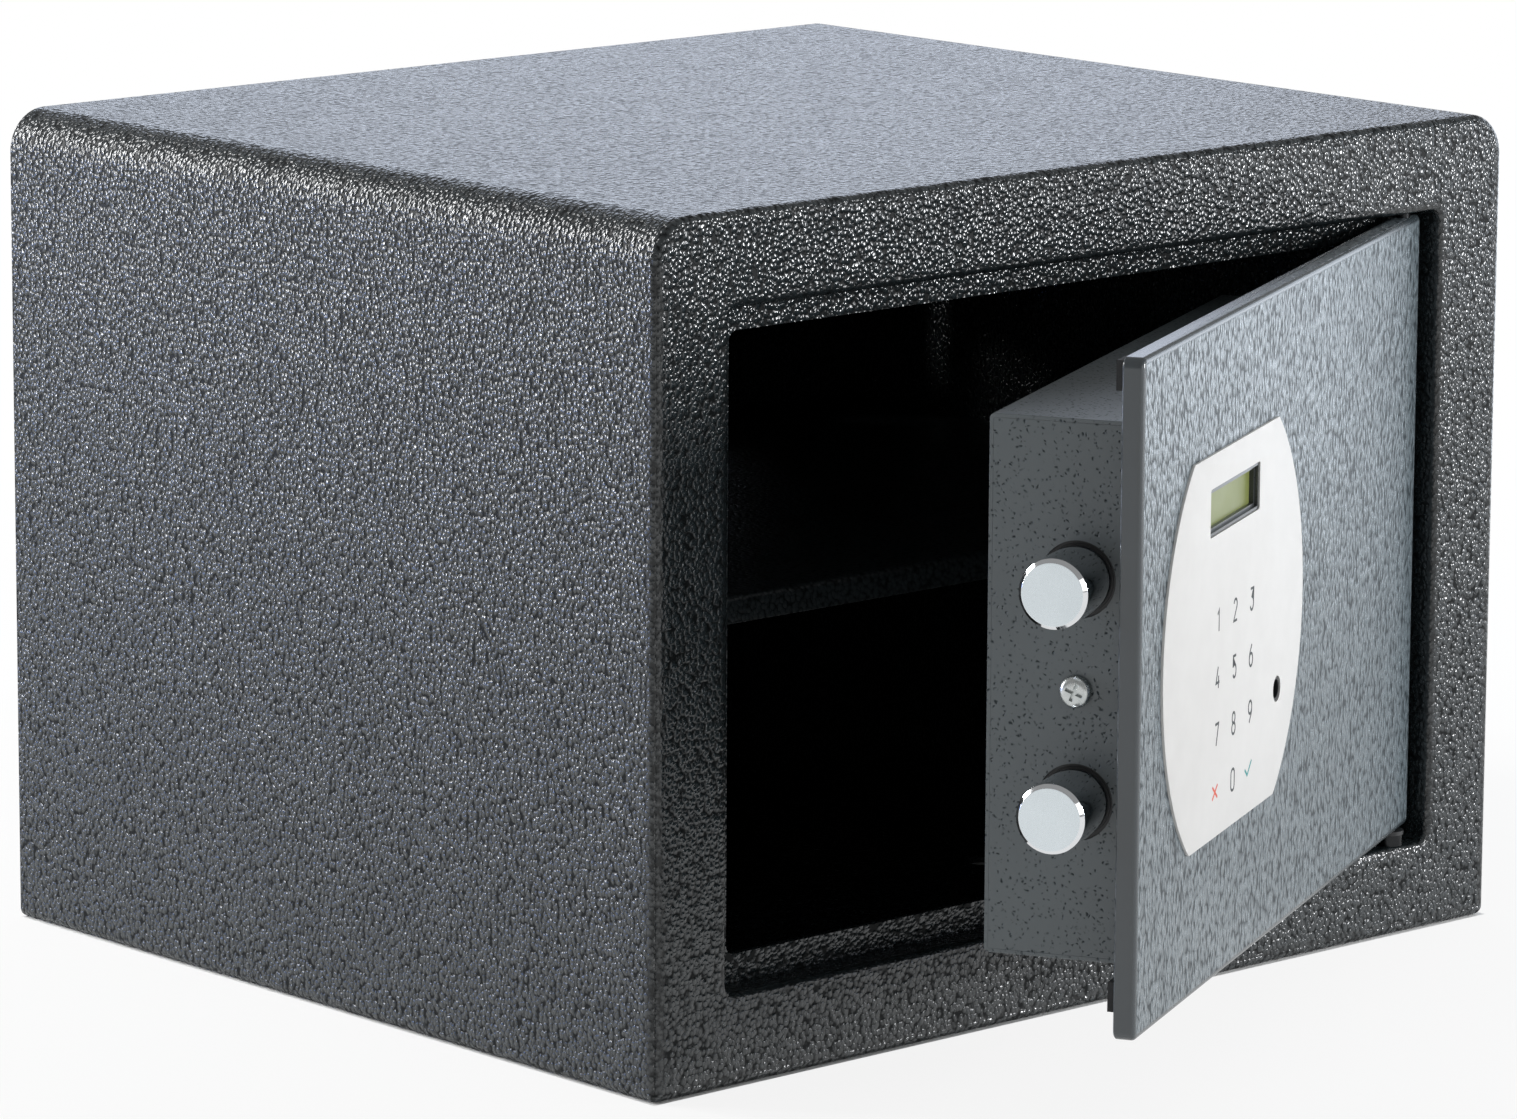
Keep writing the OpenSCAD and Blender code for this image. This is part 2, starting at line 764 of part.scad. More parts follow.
// The four screws of the case cover
module cover_screws() {
    color("silver") on_door() at_cover_screws() {
        rod_y(0, 0, cover_y - case_t - cover_screw_tail, case_y1, screw_d);
        rod_y(0, 0, case_y1, case_y1 + screw_head_h, screw_head_d);
    }
}

// Guide block behind the end of the case, bored for both bolts
module guide_block() {
    hh = bolt_pitch / 2 + bolt_d / 2 + guide_rim;
    color("#202224") on_door() difference() {
        box([guide_x0, sheet_y, case_mid_z - hh], [guide_x1, bolt_y + bolt_d / 2 + guide_rim, case_mid_z + hh]);
        for (z = bolt_z) rod_x(bolt_y, z, guide_x0 - cut, guide_x1 + cut, bolt_d + 2 * guide_fit);
        rod_x(bolt_y, case_mid_z, guide_x0 - cut, guide_x1 + cut, side_screw_d + 2 * hole_fit);
    }
}

// Pan-head screw between the bolts that holds the guide block
module side_screw() {
    color("silver") on_door() {
        rod_x(bolt_y, case_mid_z, case_x0, guide_x1 - side_screw_end, side_screw_d);
        rod_x(bolt_y, case_mid_z, case_x0 - side_head_h + side_head_edge, case_x0, side_head_d);
        translate([case_x0 - side_head_h, bolt_y, case_mid_z]) rotate([0, 90, 0])
            cylinder(d1 = side_head_d - 2 * side_head_edge, d2 = side_head_d, h = side_head_edge);
    }
}

// One bolt at a height, with its tip chamfered and a hole for its screw
module bolt(z) {
    tip = case_x0 - bolt_out;
    color("gainsboro") on_door() difference() {
        union() {
            rod_x(bolt_y, z, tip + bolt_chamfer, carriage_x0, bolt_d);
            translate([tip, bolt_y, z]) rotate([0, 90, 0])
                cylinder(d1 = bolt_d - 2 * bolt_chamfer, d2 = bolt_d, h = bolt_chamfer);
        }
        rod_x(bolt_y, z, carriage_x0 - bolt_screw_l, carriage_x0 + cut, bolt_screw_d + 2 * hole_fit);
    }
}

// Upper bolt
module bolt_upper() { bolt(bolt_z[1]); }

// Lower bolt
module bolt_lower() { bolt(bolt_z[0]); }

// Plate that joins the bolts and moves them together
module bolt_carriage() {
    hh = bolt_pitch / 2 + carriage_hw;
    color("silver") on_door() difference() {
        box([carriage_x0, bolt_y - carriage_hw, case_mid_z - hh],
            [carriage_x1, bolt_y + carriage_hw, case_mid_z + hh]);
        for (z = bolt_z) rod_x(bolt_y, z, carriage_x0 - cut, carriage_x1 + cut, bolt_screw_d + 2 * hole_fit);
    }
}

// The screws that pull the bolts against the carriage
module bolt_screws() {
    color("silver") on_door() for (z = bolt_z) {
        rod_x(bolt_y, z, carriage_x1 - bolt_screw_l, carriage_x1, bolt_screw_d);
        rod_x(bolt_y, z, carriage_x1, carriage_x1 + bolt_head_h, bolt_head_d);
    }
}

// One rack tooth about the pitch line at y = 0, pointing to +Y
module rack_tooth(x) {
    half = tooth_pitch / 4 - gear_play / 4;
    slope = tan(pressure_a);
    translate([x, 0]) polygon([
        [-half - rack_ded * slope, -rack_ded], [half + rack_ded * slope, -rack_ded],
        [half - rack_add * slope, rack_add], [-half + rack_add * slope, rack_add]]);
}

// Rack on the carriage, its teeth turned to the back
module drive_rack() {
    first = -ceil((bolt_travel + tip_r) / tooth_pitch);
    root = rack_line_y - rack_ded;
    back = root - rack_t;
    color("silver") on_door() {
        translate([0, rack_line_y, gear_z0]) linear_extrude(gear_w)
            for (i = [first:rack_teeth_side]) rack_tooth(drive_x + i * tooth_pitch);
        box([carriage_x1, back, gear_z0], [rack_x1, root, gear_z1]);
        box([carriage_x1, back, case_mid_z - foot_h / 2], [foot_x1, root, case_mid_z + foot_h / 2]);
    }
}

// The angle between an involute's foot and its point at pressure angle a
function involute_a(a) = tan(a) * 180 / PI - a;

// Half a tooth's angle at the base circle
base_half = 90 / gear_teeth - gear_play / 4 / pitch_r * 180 / PI + involute_a(pressure_a);

// A point in polar form
function polar(r, a) = [r * cos(a), r * sin(a)];

// The flank of a tooth from the base circle to the tip, on one side of its middle
function flank(side) = let (last = acos(base_r / tip_r), steps = 6)
    [for (i = [0:steps]) let (a = last * i / steps) polar(base_r / cos(a), side * (base_half - involute_a(a)))];

// One whole tooth from root to root
function tooth() = concat([polar(root_r, -base_half)], flank(-1),
    [for (i = [len(flank(1)) - 1:-1:0]) flank(1)[i]], [polar(root_r, base_half)]);

// Pinion on the motor shaft, a gap between two teeth turned to the rack
module drive_pinion() {
    step = 360 / gear_teeth;
    color("gold") on_door() translate([drive_x, drive_y, gear_z0]) {
        linear_extrude(gear_w) rotate(-90 + step / 2) union() {
            circle(root_r - gear_core_gap);
            for (i = [0:gear_teeth - 1]) rotate(i * step) polygon(concat([[0, 0]], tooth()));
        }
        cylinder(r = root_r - hub_step, h = gear_w + hub_rise);
        cylinder(d = shaft_d, h = motor_z0 - gear_z0 + shaft_in);
    }
}

// Gear motor: gearbox with the output bearing, and the can above it
module gear_motor() {
    z1 = motor_z0 + gearbox_h;
    color("silver") on_door() difference() {
        union() {
            box([drive_x - motor_w / 2, drive_y - motor_d / 2, motor_z0],
                [drive_x + motor_w / 2, drive_y + motor_d / 2, z1]);
            translate([drive_x, drive_y, z1]) intersection() {
                cylinder(d = motor_w, h = can_h);
                translate([-motor_w / 2, -motor_d / 2, 0]) cube([motor_w, motor_d, can_h]);
            }
            translate([drive_x, drive_y, z1 + can_h]) cylinder(d = end_boss_d, h = end_boss_h);
        }
        translate([drive_x, drive_y, motor_z0 - cut])
            cylinder(d = shaft_d + 2 * shaft_fit, h = shaft_in + shaft_end_gap + cut);
    }
}

// Where the two screws of the motor bracket go
module at_bracket_screws() {
    for (side = [-1, 1])
        translate([drive_x + side * (bracket_hw - bracket_screw_inset), 0, bracket_top + bracket_foot / 2]) children();
}

// Motor bracket: a shelf under the gearbox, a back plate, and a foot on the case sheet above the keypad
module motor_bracket() {
    x0 = drive_x - bracket_hw;
    x1 = drive_x + bracket_hw;
    color("silver") on_door() difference() {
        union() {
            box([x0, bracket_y0, motor_z0 - bracket_t], [x1, drive_y + motor_d / 2, motor_z0]);
            box([x0, bracket_y0, motor_z0 - bracket_t], [x1, bracket_y0 + bracket_t, bracket_top]);
            box([x0, sheet_y, bracket_top - bracket_t], [x1, bracket_y0 + bracket_t, bracket_top]);
            box([x0, sheet_y, bracket_top - bracket_t], [x1, sheet_y + bracket_t, bracket_top + bracket_foot]);
        }
        translate([drive_x, drive_y, motor_z0 - bracket_t - cut])
            cylinder(d = shaft_d + 2 * bracket_hole_gap, h = bracket_t + 2 * cut);
        at_bracket_screws() rod_y(0, 0, sheet_y - cut, sheet_y + bracket_t + cut, screw_d + 2 * hole_fit);
    }
}

// The screws of the motor bracket
module bracket_screws() {
    y = sheet_y + bracket_t;
    color("silver") on_door() at_bracket_screws() {
        rod_y(0, 0, sheet_y, y, screw_d);
        rod_y(0, 0, y, y + screw_head_h, screw_head_d);
    }
}

// Printed overlay: a disc with two straight edges, open over the display and the socket
module keypad_overlay() {
    y0 = door_y0 - overlay_t;
    color("whitesmoke") on_door() difference() {
        intersection() {
            rod_y(pad_cx, pad_cz, y0, door_y0, 2 * pad_r);
            box([pad_cx - pad_r, y0, pad_cz - pad_h / 2], [pad_cx + pad_r, door_y0, pad_cz + pad_h / 2]);
        }
        box([lcd_cx - lcd_w / 2, y0 - cut, lcd_cz - lcd_h / 2],
            [lcd_cx + lcd_w / 2, door_y0 + cut, lcd_cz + lcd_h / 2]);
        rod_y(jack_x, jack_z, y0 - cut, door_y0 + cut, jack_d);
    }
}

// The middle of a key, counted along the rows from the top left
function key_at(i) = [insert_cx + (i % 3 - 1) * key_pitch_x, pad_cz + key_row_z - floor(i / 3) * key_pitch_z];

// Where the four screws of the keypad's board go
module at_keypad_screws() {
    dx = insert_w / 2 - pad_screw_inset;
    dz = insert_h / 2 - pad_screw_inset;
    for (x = [-dx, dx], z = [-dz, dz]) translate([insert_cx + x, 0, pad_cz + z]) children();
}

// Moulded insert in the door: guides the keys and frames the display
module keypad_insert() {
    w = insert_w / 2 - insert_gap;
    h = insert_h / 2 - insert_gap;
    seat_y = door_y0 + key_flange_t + key_travel + key_end_gap;
    color("#303234") on_door() difference() {
        box([insert_cx - w, door_y0, pad_cz - h], [insert_cx + w, insert_y1, pad_cz + h]);
        for (i = [0:11]) {
            rod_y(key_at(i)[0], key_at(i)[1], door_y0 - cut, seat_y, key_d + 2 * key_gap);
            rod_y(key_at(i)[0], key_at(i)[1], door_y0 - cut, insert_y1 + cut, key_stem_d + 2 * key_gap);
        }
        box([lcd_cx - lcd_w / 2, door_y0 - cut, lcd_cz - lcd_h / 2],
            [lcd_cx + lcd_w / 2, insert_y1 + cut, lcd_cz + lcd_h / 2]);
        at_keypad_screws() rod_y(0, 0, insert_y1 - pad_hole_l, insert_y1 + cut, pad_screw_d + 2 * hole_fit);
    }
}

// Soft mat between the keys and their board
module key_mat() {
    z_top = key_at(0)[1] + key_d / 2 + mat_rim;
    z_low = key_at(11)[1] - key_d / 2;
    color("dimgray") on_door()
        box([key_at(0)[0] - key_d, mat_y0, z_low], [key_at(2)[0] + key_d, mat_y0 + mat_t, z_top]);
}

// Circuit board behind the mat
module keypad_board() {
    w = insert_w / 2 - pad_board_gap;
    h = insert_h / 2 - pad_board_gap;
    color("darkgreen") on_door() difference() {
        box([insert_cx - w, board_y0, pad_cz - h], [insert_cx + w, board_y0 + board_t, pad_cz + h]);
        at_keypad_screws() rod_y(0, 0, board_y0 - cut, board_y0 + board_t + cut, pad_screw_d + 2 * hole_fit);
    }
}

// The small screws that hold the board to the insert
module keypad_screws() {
    y = board_y0 + board_t;
    color("silver") on_door() at_keypad_screws() {
        rod_y(0, 0, insert_y1 - pad_screw_l, y, pad_screw_d);
        rod_y(0, 0, y, y + pad_head_h, pad_head_d);
    }
}

// One key plunger: a disc under the overlay and a stem to the mat
module key(i) {
    color("lightgray") on_door() {
        rod_y(key_at(i)[0], key_at(i)[1], key_y0, key_y0 + key_flange_t, key_d);
        rod_y(key_at(i)[0], key_at(i)[1], key_y0, key_y1, key_stem_d);
    }
}

// Stepped frame inside the display window
module lcd_bezel() {
    w = lcd_w / 2 - bezel_fit;
    h = lcd_h / 2 - bezel_fit;
    step = bezel_w / 2;
    color("#3a3d3e") on_door() difference() {
        box([lcd_cx - w, door_y0 - overlay_t / 2, lcd_cz - h], [lcd_cx + w, lcd_face_y, lcd_cz + h]);
        box([lcd_cx - w + bezel_w, door_y0 - cut, lcd_cz - h + bezel_w],
            [lcd_cx + w - bezel_w, lcd_face_y + cut, lcd_cz + h - bezel_w]);
        box([lcd_cx - w + step, door_y0 - cut, lcd_cz - h + step],
            [lcd_cx + w - step, door_y0 + bezel_step, lcd_cz + h - step]);
    }
}

// Display glass
module lcd_glass() {
    w = lcd_w / 2 - lcd_glass_inset;
    h = lcd_h / 2 - lcd_glass_inset;
    color("#9ea57d") on_door()
        box([lcd_cx - w, lcd_face_y, lcd_cz - h], [lcd_cx + w, lcd_face_y + lcd_glass_t, lcd_cz + h]);
}

// Display body behind the glass, down to the board
module lcd_module() {
    w = lcd_w / 2 - lcd_module_inset;
    h = lcd_h / 2 - lcd_module_inset;
    color("#202224") on_door()
        box([lcd_cx - w, lcd_face_y + lcd_glass_t, lcd_cz - h], [lcd_cx + w, board_y0, lcd_cz + h]);
}

// Socket for an outside battery lead
module jack_socket() {
    color("#161616") on_door() difference() {
        union() {
            rod_y(jack_x, jack_z, door_y0, door_y0 + jack_body_l, jack_body_d);
            rod_y(jack_x, jack_z, door_y0 - overlay_t / 2, door_y0, jack_d - 2 * jack_nose_gap);
        }
        rod_y(jack_x, jack_z, door_y0 - overlay_t - cut, door_y0 + jack_body_l - jack_end_t, jack_bore_d);
        rod_y(jack_x, jack_z, door_y0, door_y0 + jack_body_l + cut, jack_contact_d + 2 * hole_fit);
    }
}

// End contact of the socket, flush with the bottom of its bore
module jack_contact() {
    end_y = door_y0 + jack_body_l;
    color("gold") on_door()
        rod_y(jack_x, jack_z, end_y - jack_end_t, end_y + jack_contact_tail, jack_contact_d);
}

// Where the four screws and posts of the control board go
module at_board_screws() {
    inset = board_screw_inset;
    for (x = [board_x1 - board_w + inset, board_x1 - inset], z = [board_z1 - board_h + inset, board_z1 - inset])
        translate([x, 0, z]) children();
}

// Control board
module control_board() {
    color("darkgreen") on_door() difference() {
        box([board_x1 - board_w, control_y0, board_z1 - board_h], [board_x1, control_y0 + board_t, board_z1]);
        at_board_screws() rod_y(0, 0, control_y0 - cut, control_y0 + board_t + cut, screw_d + 2 * hole_fit);
    }
}

// Relay, capacitors, chip and plugs on the control board
module board_parts() {
    color("#202224") on_door() translate([board_x1 - board_w, control_y0 + board_t, board_z1 - board_h]) {
        translate([relay_x, 0, board_h / 2 - relay[2] / 2]) cube(relay);
        translate([board_w / 2, 0, board_h / 2 - chip[2] / 2]) cube(chip);
        for (i = [0:1])
            rod_y(capacitor_x + capacitor_pitch * i, board_h - capacitor_drop, 0, capacitor_h, capacitor_d);
        for (i = [0:2]) translate([plug_x + plug_pitch * i, 0, plug_z]) cube(plug);
    }
}

// Threaded posts under the control board, with their screws
module board_screws() {
    y = control_y0 + board_t;
    color("silver") on_door() at_board_screws() {
        rod_y(0, 0, sheet_y, control_y0, post_d);
        rod_y(0, 0, sheet_y, y, screw_d);
        rod_y(0, 0, y, y + screw_head_h, screw_head_d);
    }
}

// Battery tray behind the cover, open to the back
module battery_tray() {
    color("#202224") on_door() difference() {
        tray_mouth(tray_y0, cover_y, tray_t);
        tray_mouth(tray_y0 + tray_t, cover_y + cut, 0);
    }
}

// The height of a battery cell's middle
function cell_z(i) = tray_cz + (i - 1.5) * (cell_d + cell_gap);

// Four battery cells, every second one turned round
module battery_cells() {
    color("#b0a060") on_door() for (i = [0:3]) {
        turned = i % 2;
        x0 = tray_cx - cell_l / 2;
        x1 = tray_cx + cell_l / 2;
        rod_x(cell_y, cell_z(i), x0 + cell_tip_l * turned, x1 - cell_tip_l * (1 - turned), cell_d);
        rod_x(cell_y, cell_z(i), x0, x1, cell_tip_d);
    }
}

// Contact plates at both ends of each cell
module battery_contacts() {
    hw = contact_hw;
    color("silver") on_door() for (i = [0:3], side = [0, 1])
        translate([tray_cx, cell_y, cell_z(i)]) mirror([side, 0, 0])
            box([tray_in_w / 2 - contact_t, -hw, -hw], [tray_in_w / 2, hw, hw]);
}

// Battery lid on the back of the cover, with a rim in the tray's mouth
module battery_cover() {
    color("#202224") on_door() {
        tray_mouth(case_y1, case_y1 + lid_t, lid_lap);
        tray_mouth(case_y1 - lid_rim_t, case_y1, -cell_gap);
    }
}

// Body of the code button: a bush through the cover, with a flange outside and a nut inside
module code_button_body() {
    y1 = case_y1 + button_flange_t;
    color("#161616") on_door() difference() {
        union() {
            rod_y(button_x, button_z, y1 - button_back, y1, bush_d);
            rod_y(button_x, button_z, case_y1, y1, button_flange_d);
            rod_y(button_x, button_z, cover_y - bush_nut_t, cover_y, button_flange_d);
        }
        rod_y(button_x, button_z, y1 - button_back + bush_end_t, y1 + cut, button_d + 2 * shaft_fit);
    }
}

// Cap of the code button, which is pressed in from the back
module code_button_cap() {
    bush_y1 = case_y1 + button_flange_t;
    y0 = bush_y1 - button_back + bush_end_t + button_travel + cap_end_gap;
    y1 = bush_y1 + button_rise;
    color("firebrick") on_door() rod_y(button_x, button_z, y0, y1, button_d);
}

front_frame();
stop_ring();
body_wrap();
base_panel();
back_panel();
shelf();
shelf_angles();
hinge_blocks();
hinge_pins();
thrust_washer();
door_plate();
rubber_buffers();
lock_bracket();
case_cover();
cover_screws();
guide_block();
side_screw();
bolt_upper();
bolt_lower();
bolt_carriage();
bolt_screws();
drive_rack();
drive_pinion();
gear_motor();
motor_bracket();
bracket_screws();
keypad_overlay();
keypad_insert();
key_mat();
keypad_board();
keypad_screws();
lcd_bezel();
lcd_glass();
lcd_module();
jack_socket();
jack_contact();
control_board();
board_parts();
board_screws();
battery_tray();
battery_cells();
battery_contacts();
battery_cover();
code_button_body();
code_button_cap();
key(0);  // key_1
key(1);  // key_2
key(2);  // key_3
key(3);  // key_4
key(4);  // key_5
key(5);  // key_6
key(6);  // key_7
key(7);  // key_8
key(8);  // key_9
key(9);  // key_star
key(10);  // key_0
key(11);  // key_hash
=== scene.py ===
# Electronic safe: textured steel cabinet, door ajar on its pins, bolt case with two round bolts, keypad.
import math
import bmesh
import bpy
from mathutils import Matrix, Vector


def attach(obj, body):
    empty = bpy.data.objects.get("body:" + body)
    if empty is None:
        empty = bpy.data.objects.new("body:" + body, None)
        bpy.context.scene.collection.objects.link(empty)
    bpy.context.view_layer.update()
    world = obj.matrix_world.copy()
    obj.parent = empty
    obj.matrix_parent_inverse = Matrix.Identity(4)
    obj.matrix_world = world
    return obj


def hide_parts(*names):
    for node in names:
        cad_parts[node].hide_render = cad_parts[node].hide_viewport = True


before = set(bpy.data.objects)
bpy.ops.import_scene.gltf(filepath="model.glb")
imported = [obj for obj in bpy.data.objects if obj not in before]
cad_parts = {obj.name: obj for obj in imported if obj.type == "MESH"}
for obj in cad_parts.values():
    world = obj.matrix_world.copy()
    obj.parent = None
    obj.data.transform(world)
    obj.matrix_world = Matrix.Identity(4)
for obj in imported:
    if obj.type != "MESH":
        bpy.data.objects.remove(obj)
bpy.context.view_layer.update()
mm = 0.001

# The photograph's camera looks at aim from a distance, turned left of the front and tilted down.
camera = {
    "aim": (5, -150, 127),          # mm, a point on the front face
    "turn": 42.32,                  # degrees to the left of straight on
    "tilt": 11.10,                  # degrees down
    "roll": 0.31,
    "distance": 2256.2,             # mm along the axis to the aim
    "pixelsPerMm": 3.36005,
    "aimPixel": (349.863, 28.931),  # where the aim lies from the picture's middle, right and down
    "imageWidth": 1517,
    "sensor": 36,
    "clipEnd": 60,                  # m
}

# The door stands open about its hinge pins; its pieces are drawn shut and then turned.
hinge = {"x": 135, "y": -145.4, "angle": 27.8}
doorTurn = (Matrix.Translation((hinge["x"] * mm, hinge["y"] * mm, 0))
            @ Matrix.Rotation(math.radians(hinge["angle"]), 4, "Z")
            @ Matrix.Translation((-hinge["x"] * mm, -hinge["y"] * mm, 0)))


# colour and nodes

def linear(hexText):                # sRGB hex to linear RGBA
    parts = [int(hexText[i:i + 2], 16) / 255 for i in (1, 3, 5)]
    return tuple(c / 12.92 if c <= 0.04045 else ((c + 0.055) / 1.055) ** 2.4 for c in parts) + (1.0,)


def addNode(tree, kind, inputs=None, **settings):   # an input takes a value, or the socket that feeds it
    node = tree.nodes.new("ShaderNode" + kind)
    for name, value in settings.items():
        setattr(node, name, value)
    for key, value in (inputs or {}).items():
        if isinstance(value, bpy.types.NodeSocket):
            tree.links.new(value, node.inputs[key])
        else:
            node.inputs[key].default_value = value
    return node


def newMaterial(name):              # the tree, and object coordinates in millimetres
    material = bpy.data.materials.new(name)
    material.use_nodes = True
    tree = material.node_tree
    tree.nodes.clear()
    inMetres = addNode(tree, "TexCoord").outputs["Object"]
    coords = addNode(tree, "VectorMath", {0: inMetres, "Scale": 1 / mm}, operation="SCALE").outputs[0]
    return material, tree, coords


# A noise keeps to its middle, so the part of it between these limits is spread over the whole of a range.
noiseSpans = {"patch": (0.3, 0.6), "plating": (0.35, 0.65), "mould": (0.3, 0.7), "grain": (0.3, 0.7)}


# Polyester powder coat with a pebbled texture, on steel sheet: glossy rounded bumps that catch small hard
# highlights, with dull hollows between them that are painted darker and less reflective as painted shade. It
# runs thin and smooth over the bends, where the bare-and-shade share nears 1, and there its colour is painted
# dark as painted shade.

def texturedPowderCoat(name, look):
    material, tree, coords = newMaterial(name)
    density = 1 / look["spacing"]
    drawn = addNode(tree, "VectorMath", {0: coords, 1: look["stretch"]}, operation="MULTIPLY").outputs[0]
    pull = addNode(tree, "TexNoise", {"Vector": drawn, "Scale": density, "Detail": 0.0}).outputs["Color"]
    bent = addNode(tree, "VectorMath", {0: pull, 1: (look["spacing"] * look["wander"],) * 3, 2: drawn},
                   operation="MULTIPLY_ADD").outputs[0]
    away = addNode(tree, "TexVoronoi", {"Vector": bent, "Scale": density}).outputs["Distance"]
    slant = addNode(tree, "MapRange", {0: away, 1: look["crown"], 2: look["hollow"]}).outputs[0]
    fall = addNode(tree, "Math", {0: slant, 1: 2.0}, operation="POWER").outputs[0]
    level = addNode(tree, "Math", {0: 1.0, 1: fall}, operation="SUBTRACT").outputs[0]
    patch = addNode(tree, "TexNoise", {"Vector": coords, "Scale": 1 / look["patch"],
                                       "Detail": 1.0}).outputs["Fac"]
    thin, full = noiseSpans["patch"]
    thick = addNode(tree, "MapRange", {0: patch, 1: thin, 2: full, 3: look["thinnest"], 4: 1.0}).outputs[0]
    bare = addNode(tree, "Attribute", attribute_name="bare").outputs["Fac"]
    cover = addNode(tree, "Math", {0: 1.0, 1: bare}, operation="SUBTRACT", use_clamp=True).outputs[0]
    depth = addNode(tree, "Math", {0: thick, 1: cover}, operation="MULTIPLY").outputs[0]
    relief = addNode(tree, "Math", {0: level, 1: depth}, operation="MULTIPLY").outputs[0]
    bump = addNode(tree, "Bump", {"Height": relief, "Strength": 1.0, "Distance": look["relief"] * mm})
    # Crowns take the high colour. Hollows, and bends as far as they are bare, take the low one: painted
    # shade.
    light = addNode(tree, "Math", {0: level, 1: cover}, operation="MULTIPLY").outputs[0]
    tone = addNode(tree, "Mix", {0: light, 6: linear(look["low"]), 7: linear(look["high"])},
                   data_type="RGBA").outputs[2]
    lifted = addNode(tree, "Math", {0: level, 1: bare}, operation="MAXIMUM").outputs[0]
    rough = addNode(tree, "MapRange", {0: lifted, 3: look["lowRoughness"], 4: look["roughness"]}).outputs[0]
    # Hollows reflect less than crowns: painted shade in the reflection.
    gloss = addNode(tree, "MapRange", {0: lifted, 3: look["lowGloss"], 4: look["gloss"]}).outputs[0]
    shader = addNode(tree, "BsdfPrincipled", {"Base Color": tone, "Roughness": rough, "IOR": look["ior"],
                                              "Specular IOR Level": gloss, "Normal": bump.outputs[0]})
    addNode(tree, "OutputMaterial", {"Surface": shader.outputs[0]})
    return material


# Metal with a plated, ground or turned face: a fine grain breaks its reflections, and it clouds a little.

def finishedMetal(name, look):
    material, tree, coords = newMaterial(name)
    drawn = addNode(tree, "VectorMath", {0: coords, 1: look["stretch"]}, operation="MULTIPLY").outputs[0]
    grain = addNode(tree, "TexNoise", {"Vector": drawn, "Scale": 1 / look["grain"],
                                       "Detail": 3.0}).outputs["Fac"]
    cloud = addNode(tree, "TexNoise", {"Vector": coords, "Scale": 1 / look["cloud"],
                                       "Detail": 2.0}).outputs["Fac"]
    low, high = noiseSpans["plating"]
    blend = addNode(tree, "MapRange", {0: cloud, 1: low, 2: high}).outputs[0]
    tone = addNode(tree, "Mix", {0: blend, 6: linear(look["light"]), 7: linear(look["dark"])},
                   data_type="RGBA").outputs[2]
    low, high = noiseSpans["grain"]
    rough = addNode(tree, "MapRange", {0: grain, 1: low, 2: high, 3: look["roughness"] * (1 - look["uneven"]),
                                       4: look["roughness"] * (1 + look["uneven"])}).outputs[0]
    bump = addNode(tree, "Bump", {"Height": grain, "Strength": 1.0, "Distance": look["relief"] * mm})
    shader = addNode(tree, "BsdfPrincipled", {"Base Color": tone, "Metallic": 1.0, "Roughness": rough,
                                              "Normal": bump.outputs[0]})
    addNode(tree, "OutputMaterial", {"Surface": shader.outputs[0]})
    return material


# Moulded or cast polymer: an even colour with slow clouds, and the fine eroded grain of the mould.

def mouldedPolymer(name, look):
    material, tree, coords = newMaterial(name)
    grain = addNode(tree, "TexNoise", {"Vector": coords, "Scale": 1 / look["grain"],
                                       "Detail": 2.0}).outputs["Fac"]
    cloud = addNode(tree, "TexNoise", {"Vector": coords, "Scale": 1 / look["cloud"],
                                       "Detail": 2.0}).outputs["Fac"]
    low, high = noiseSpans["mould"]
    blend = addNode(tree, "MapRange", {0: cloud, 1: low, 2: high}).outputs[0]
    tone = addNode(tree, "Mix", {0: blend, 6: linear(look["light"]), 7: linear(look["dark"])},
                   data_type="RGBA").outputs[2]
    low, high = noiseSpans["grain"]
    rough = addNode(tree, "MapRange", {0: grain, 1: low, 2: high, 3: look["roughness"] * (1 - look["uneven"]),
                                       4: look["roughness"] * (1 + look["uneven"])}).outputs[0]
    bump = addNode(tree, "Bump", {"Height": grain, "Strength": 1.0, "Distance": look["relief"] * mm})
    shader = addNode(tree, "BsdfPrincipled", {"Base Color": tone, "Roughness": rough, "IOR": look["ior"],
                                              "Specular IOR Level": look["gloss"],
                                              "Normal": bump.outputs[0]})
    addNode(tree, "OutputMaterial", {"Surface": shader.outputs[0]})
    return material


# Sizes are in mm. The coat's bumps stand a spacing apart, and wander bends their rows by a share of it.
# Crown and hollow say how far from a bump's middle, in spacings, its top ends and the hollow is reached.
# Over a patch the relief runs down to its thinnest share. Stretch below 1 draws the pattern out that way.
# High is the crowns' colour. Low and lowGloss are painted shade in the hollows and on the bends.
coatLook = {"high": "#272e31", "low": "#101314", "spacing": 1.5, "wander": 0.5, "stretch": (1, 1, 1),
            "patch": 14, "thinnest": 0.85, "crown": 0.0, "hollow": 0.8, "relief": 0.35,
            "roughness": 0.13, "lowRoughness": 0.4, "gloss": 0.85, "lowGloss": 0.12, "ior": 1.5}
cabinetCoat = texturedPowderCoat("cabinet textured powder coat", coatLook)
# The door's coat is painted lighter than the cabinet's, as painted light for the sheen it catches; its bumps
# stand upright, so they read as short dashes.
doorCoat = texturedPowderCoat("door textured powder coat", coatLook | {
    "high": "#6f7a80", "low": "#353c40", "relief": 0.28, "roughness": 0.26, "stretch": (1, 1, 0.55)})
# The bolt case's coat has scattered pits in place of bumps, so its hollow comes before its crown.
caseCoat = texturedPowderCoat("bolt case textured powder coat", coatLook | {
    "high": "#485053", "low": "#262d2f", "wander": 0.9, "hollow": 0.1, "crown": 0.4, "relief": 0.18,
    "roughness": 0.4, "lowRoughness": 0.5})
# The shelf's is sprayed thinner: flatter bumps, half dull.
shelfCoat = texturedPowderCoat("shelf textured powder coat", coatLook | {"relief": 0.14, "roughness": 0.36})

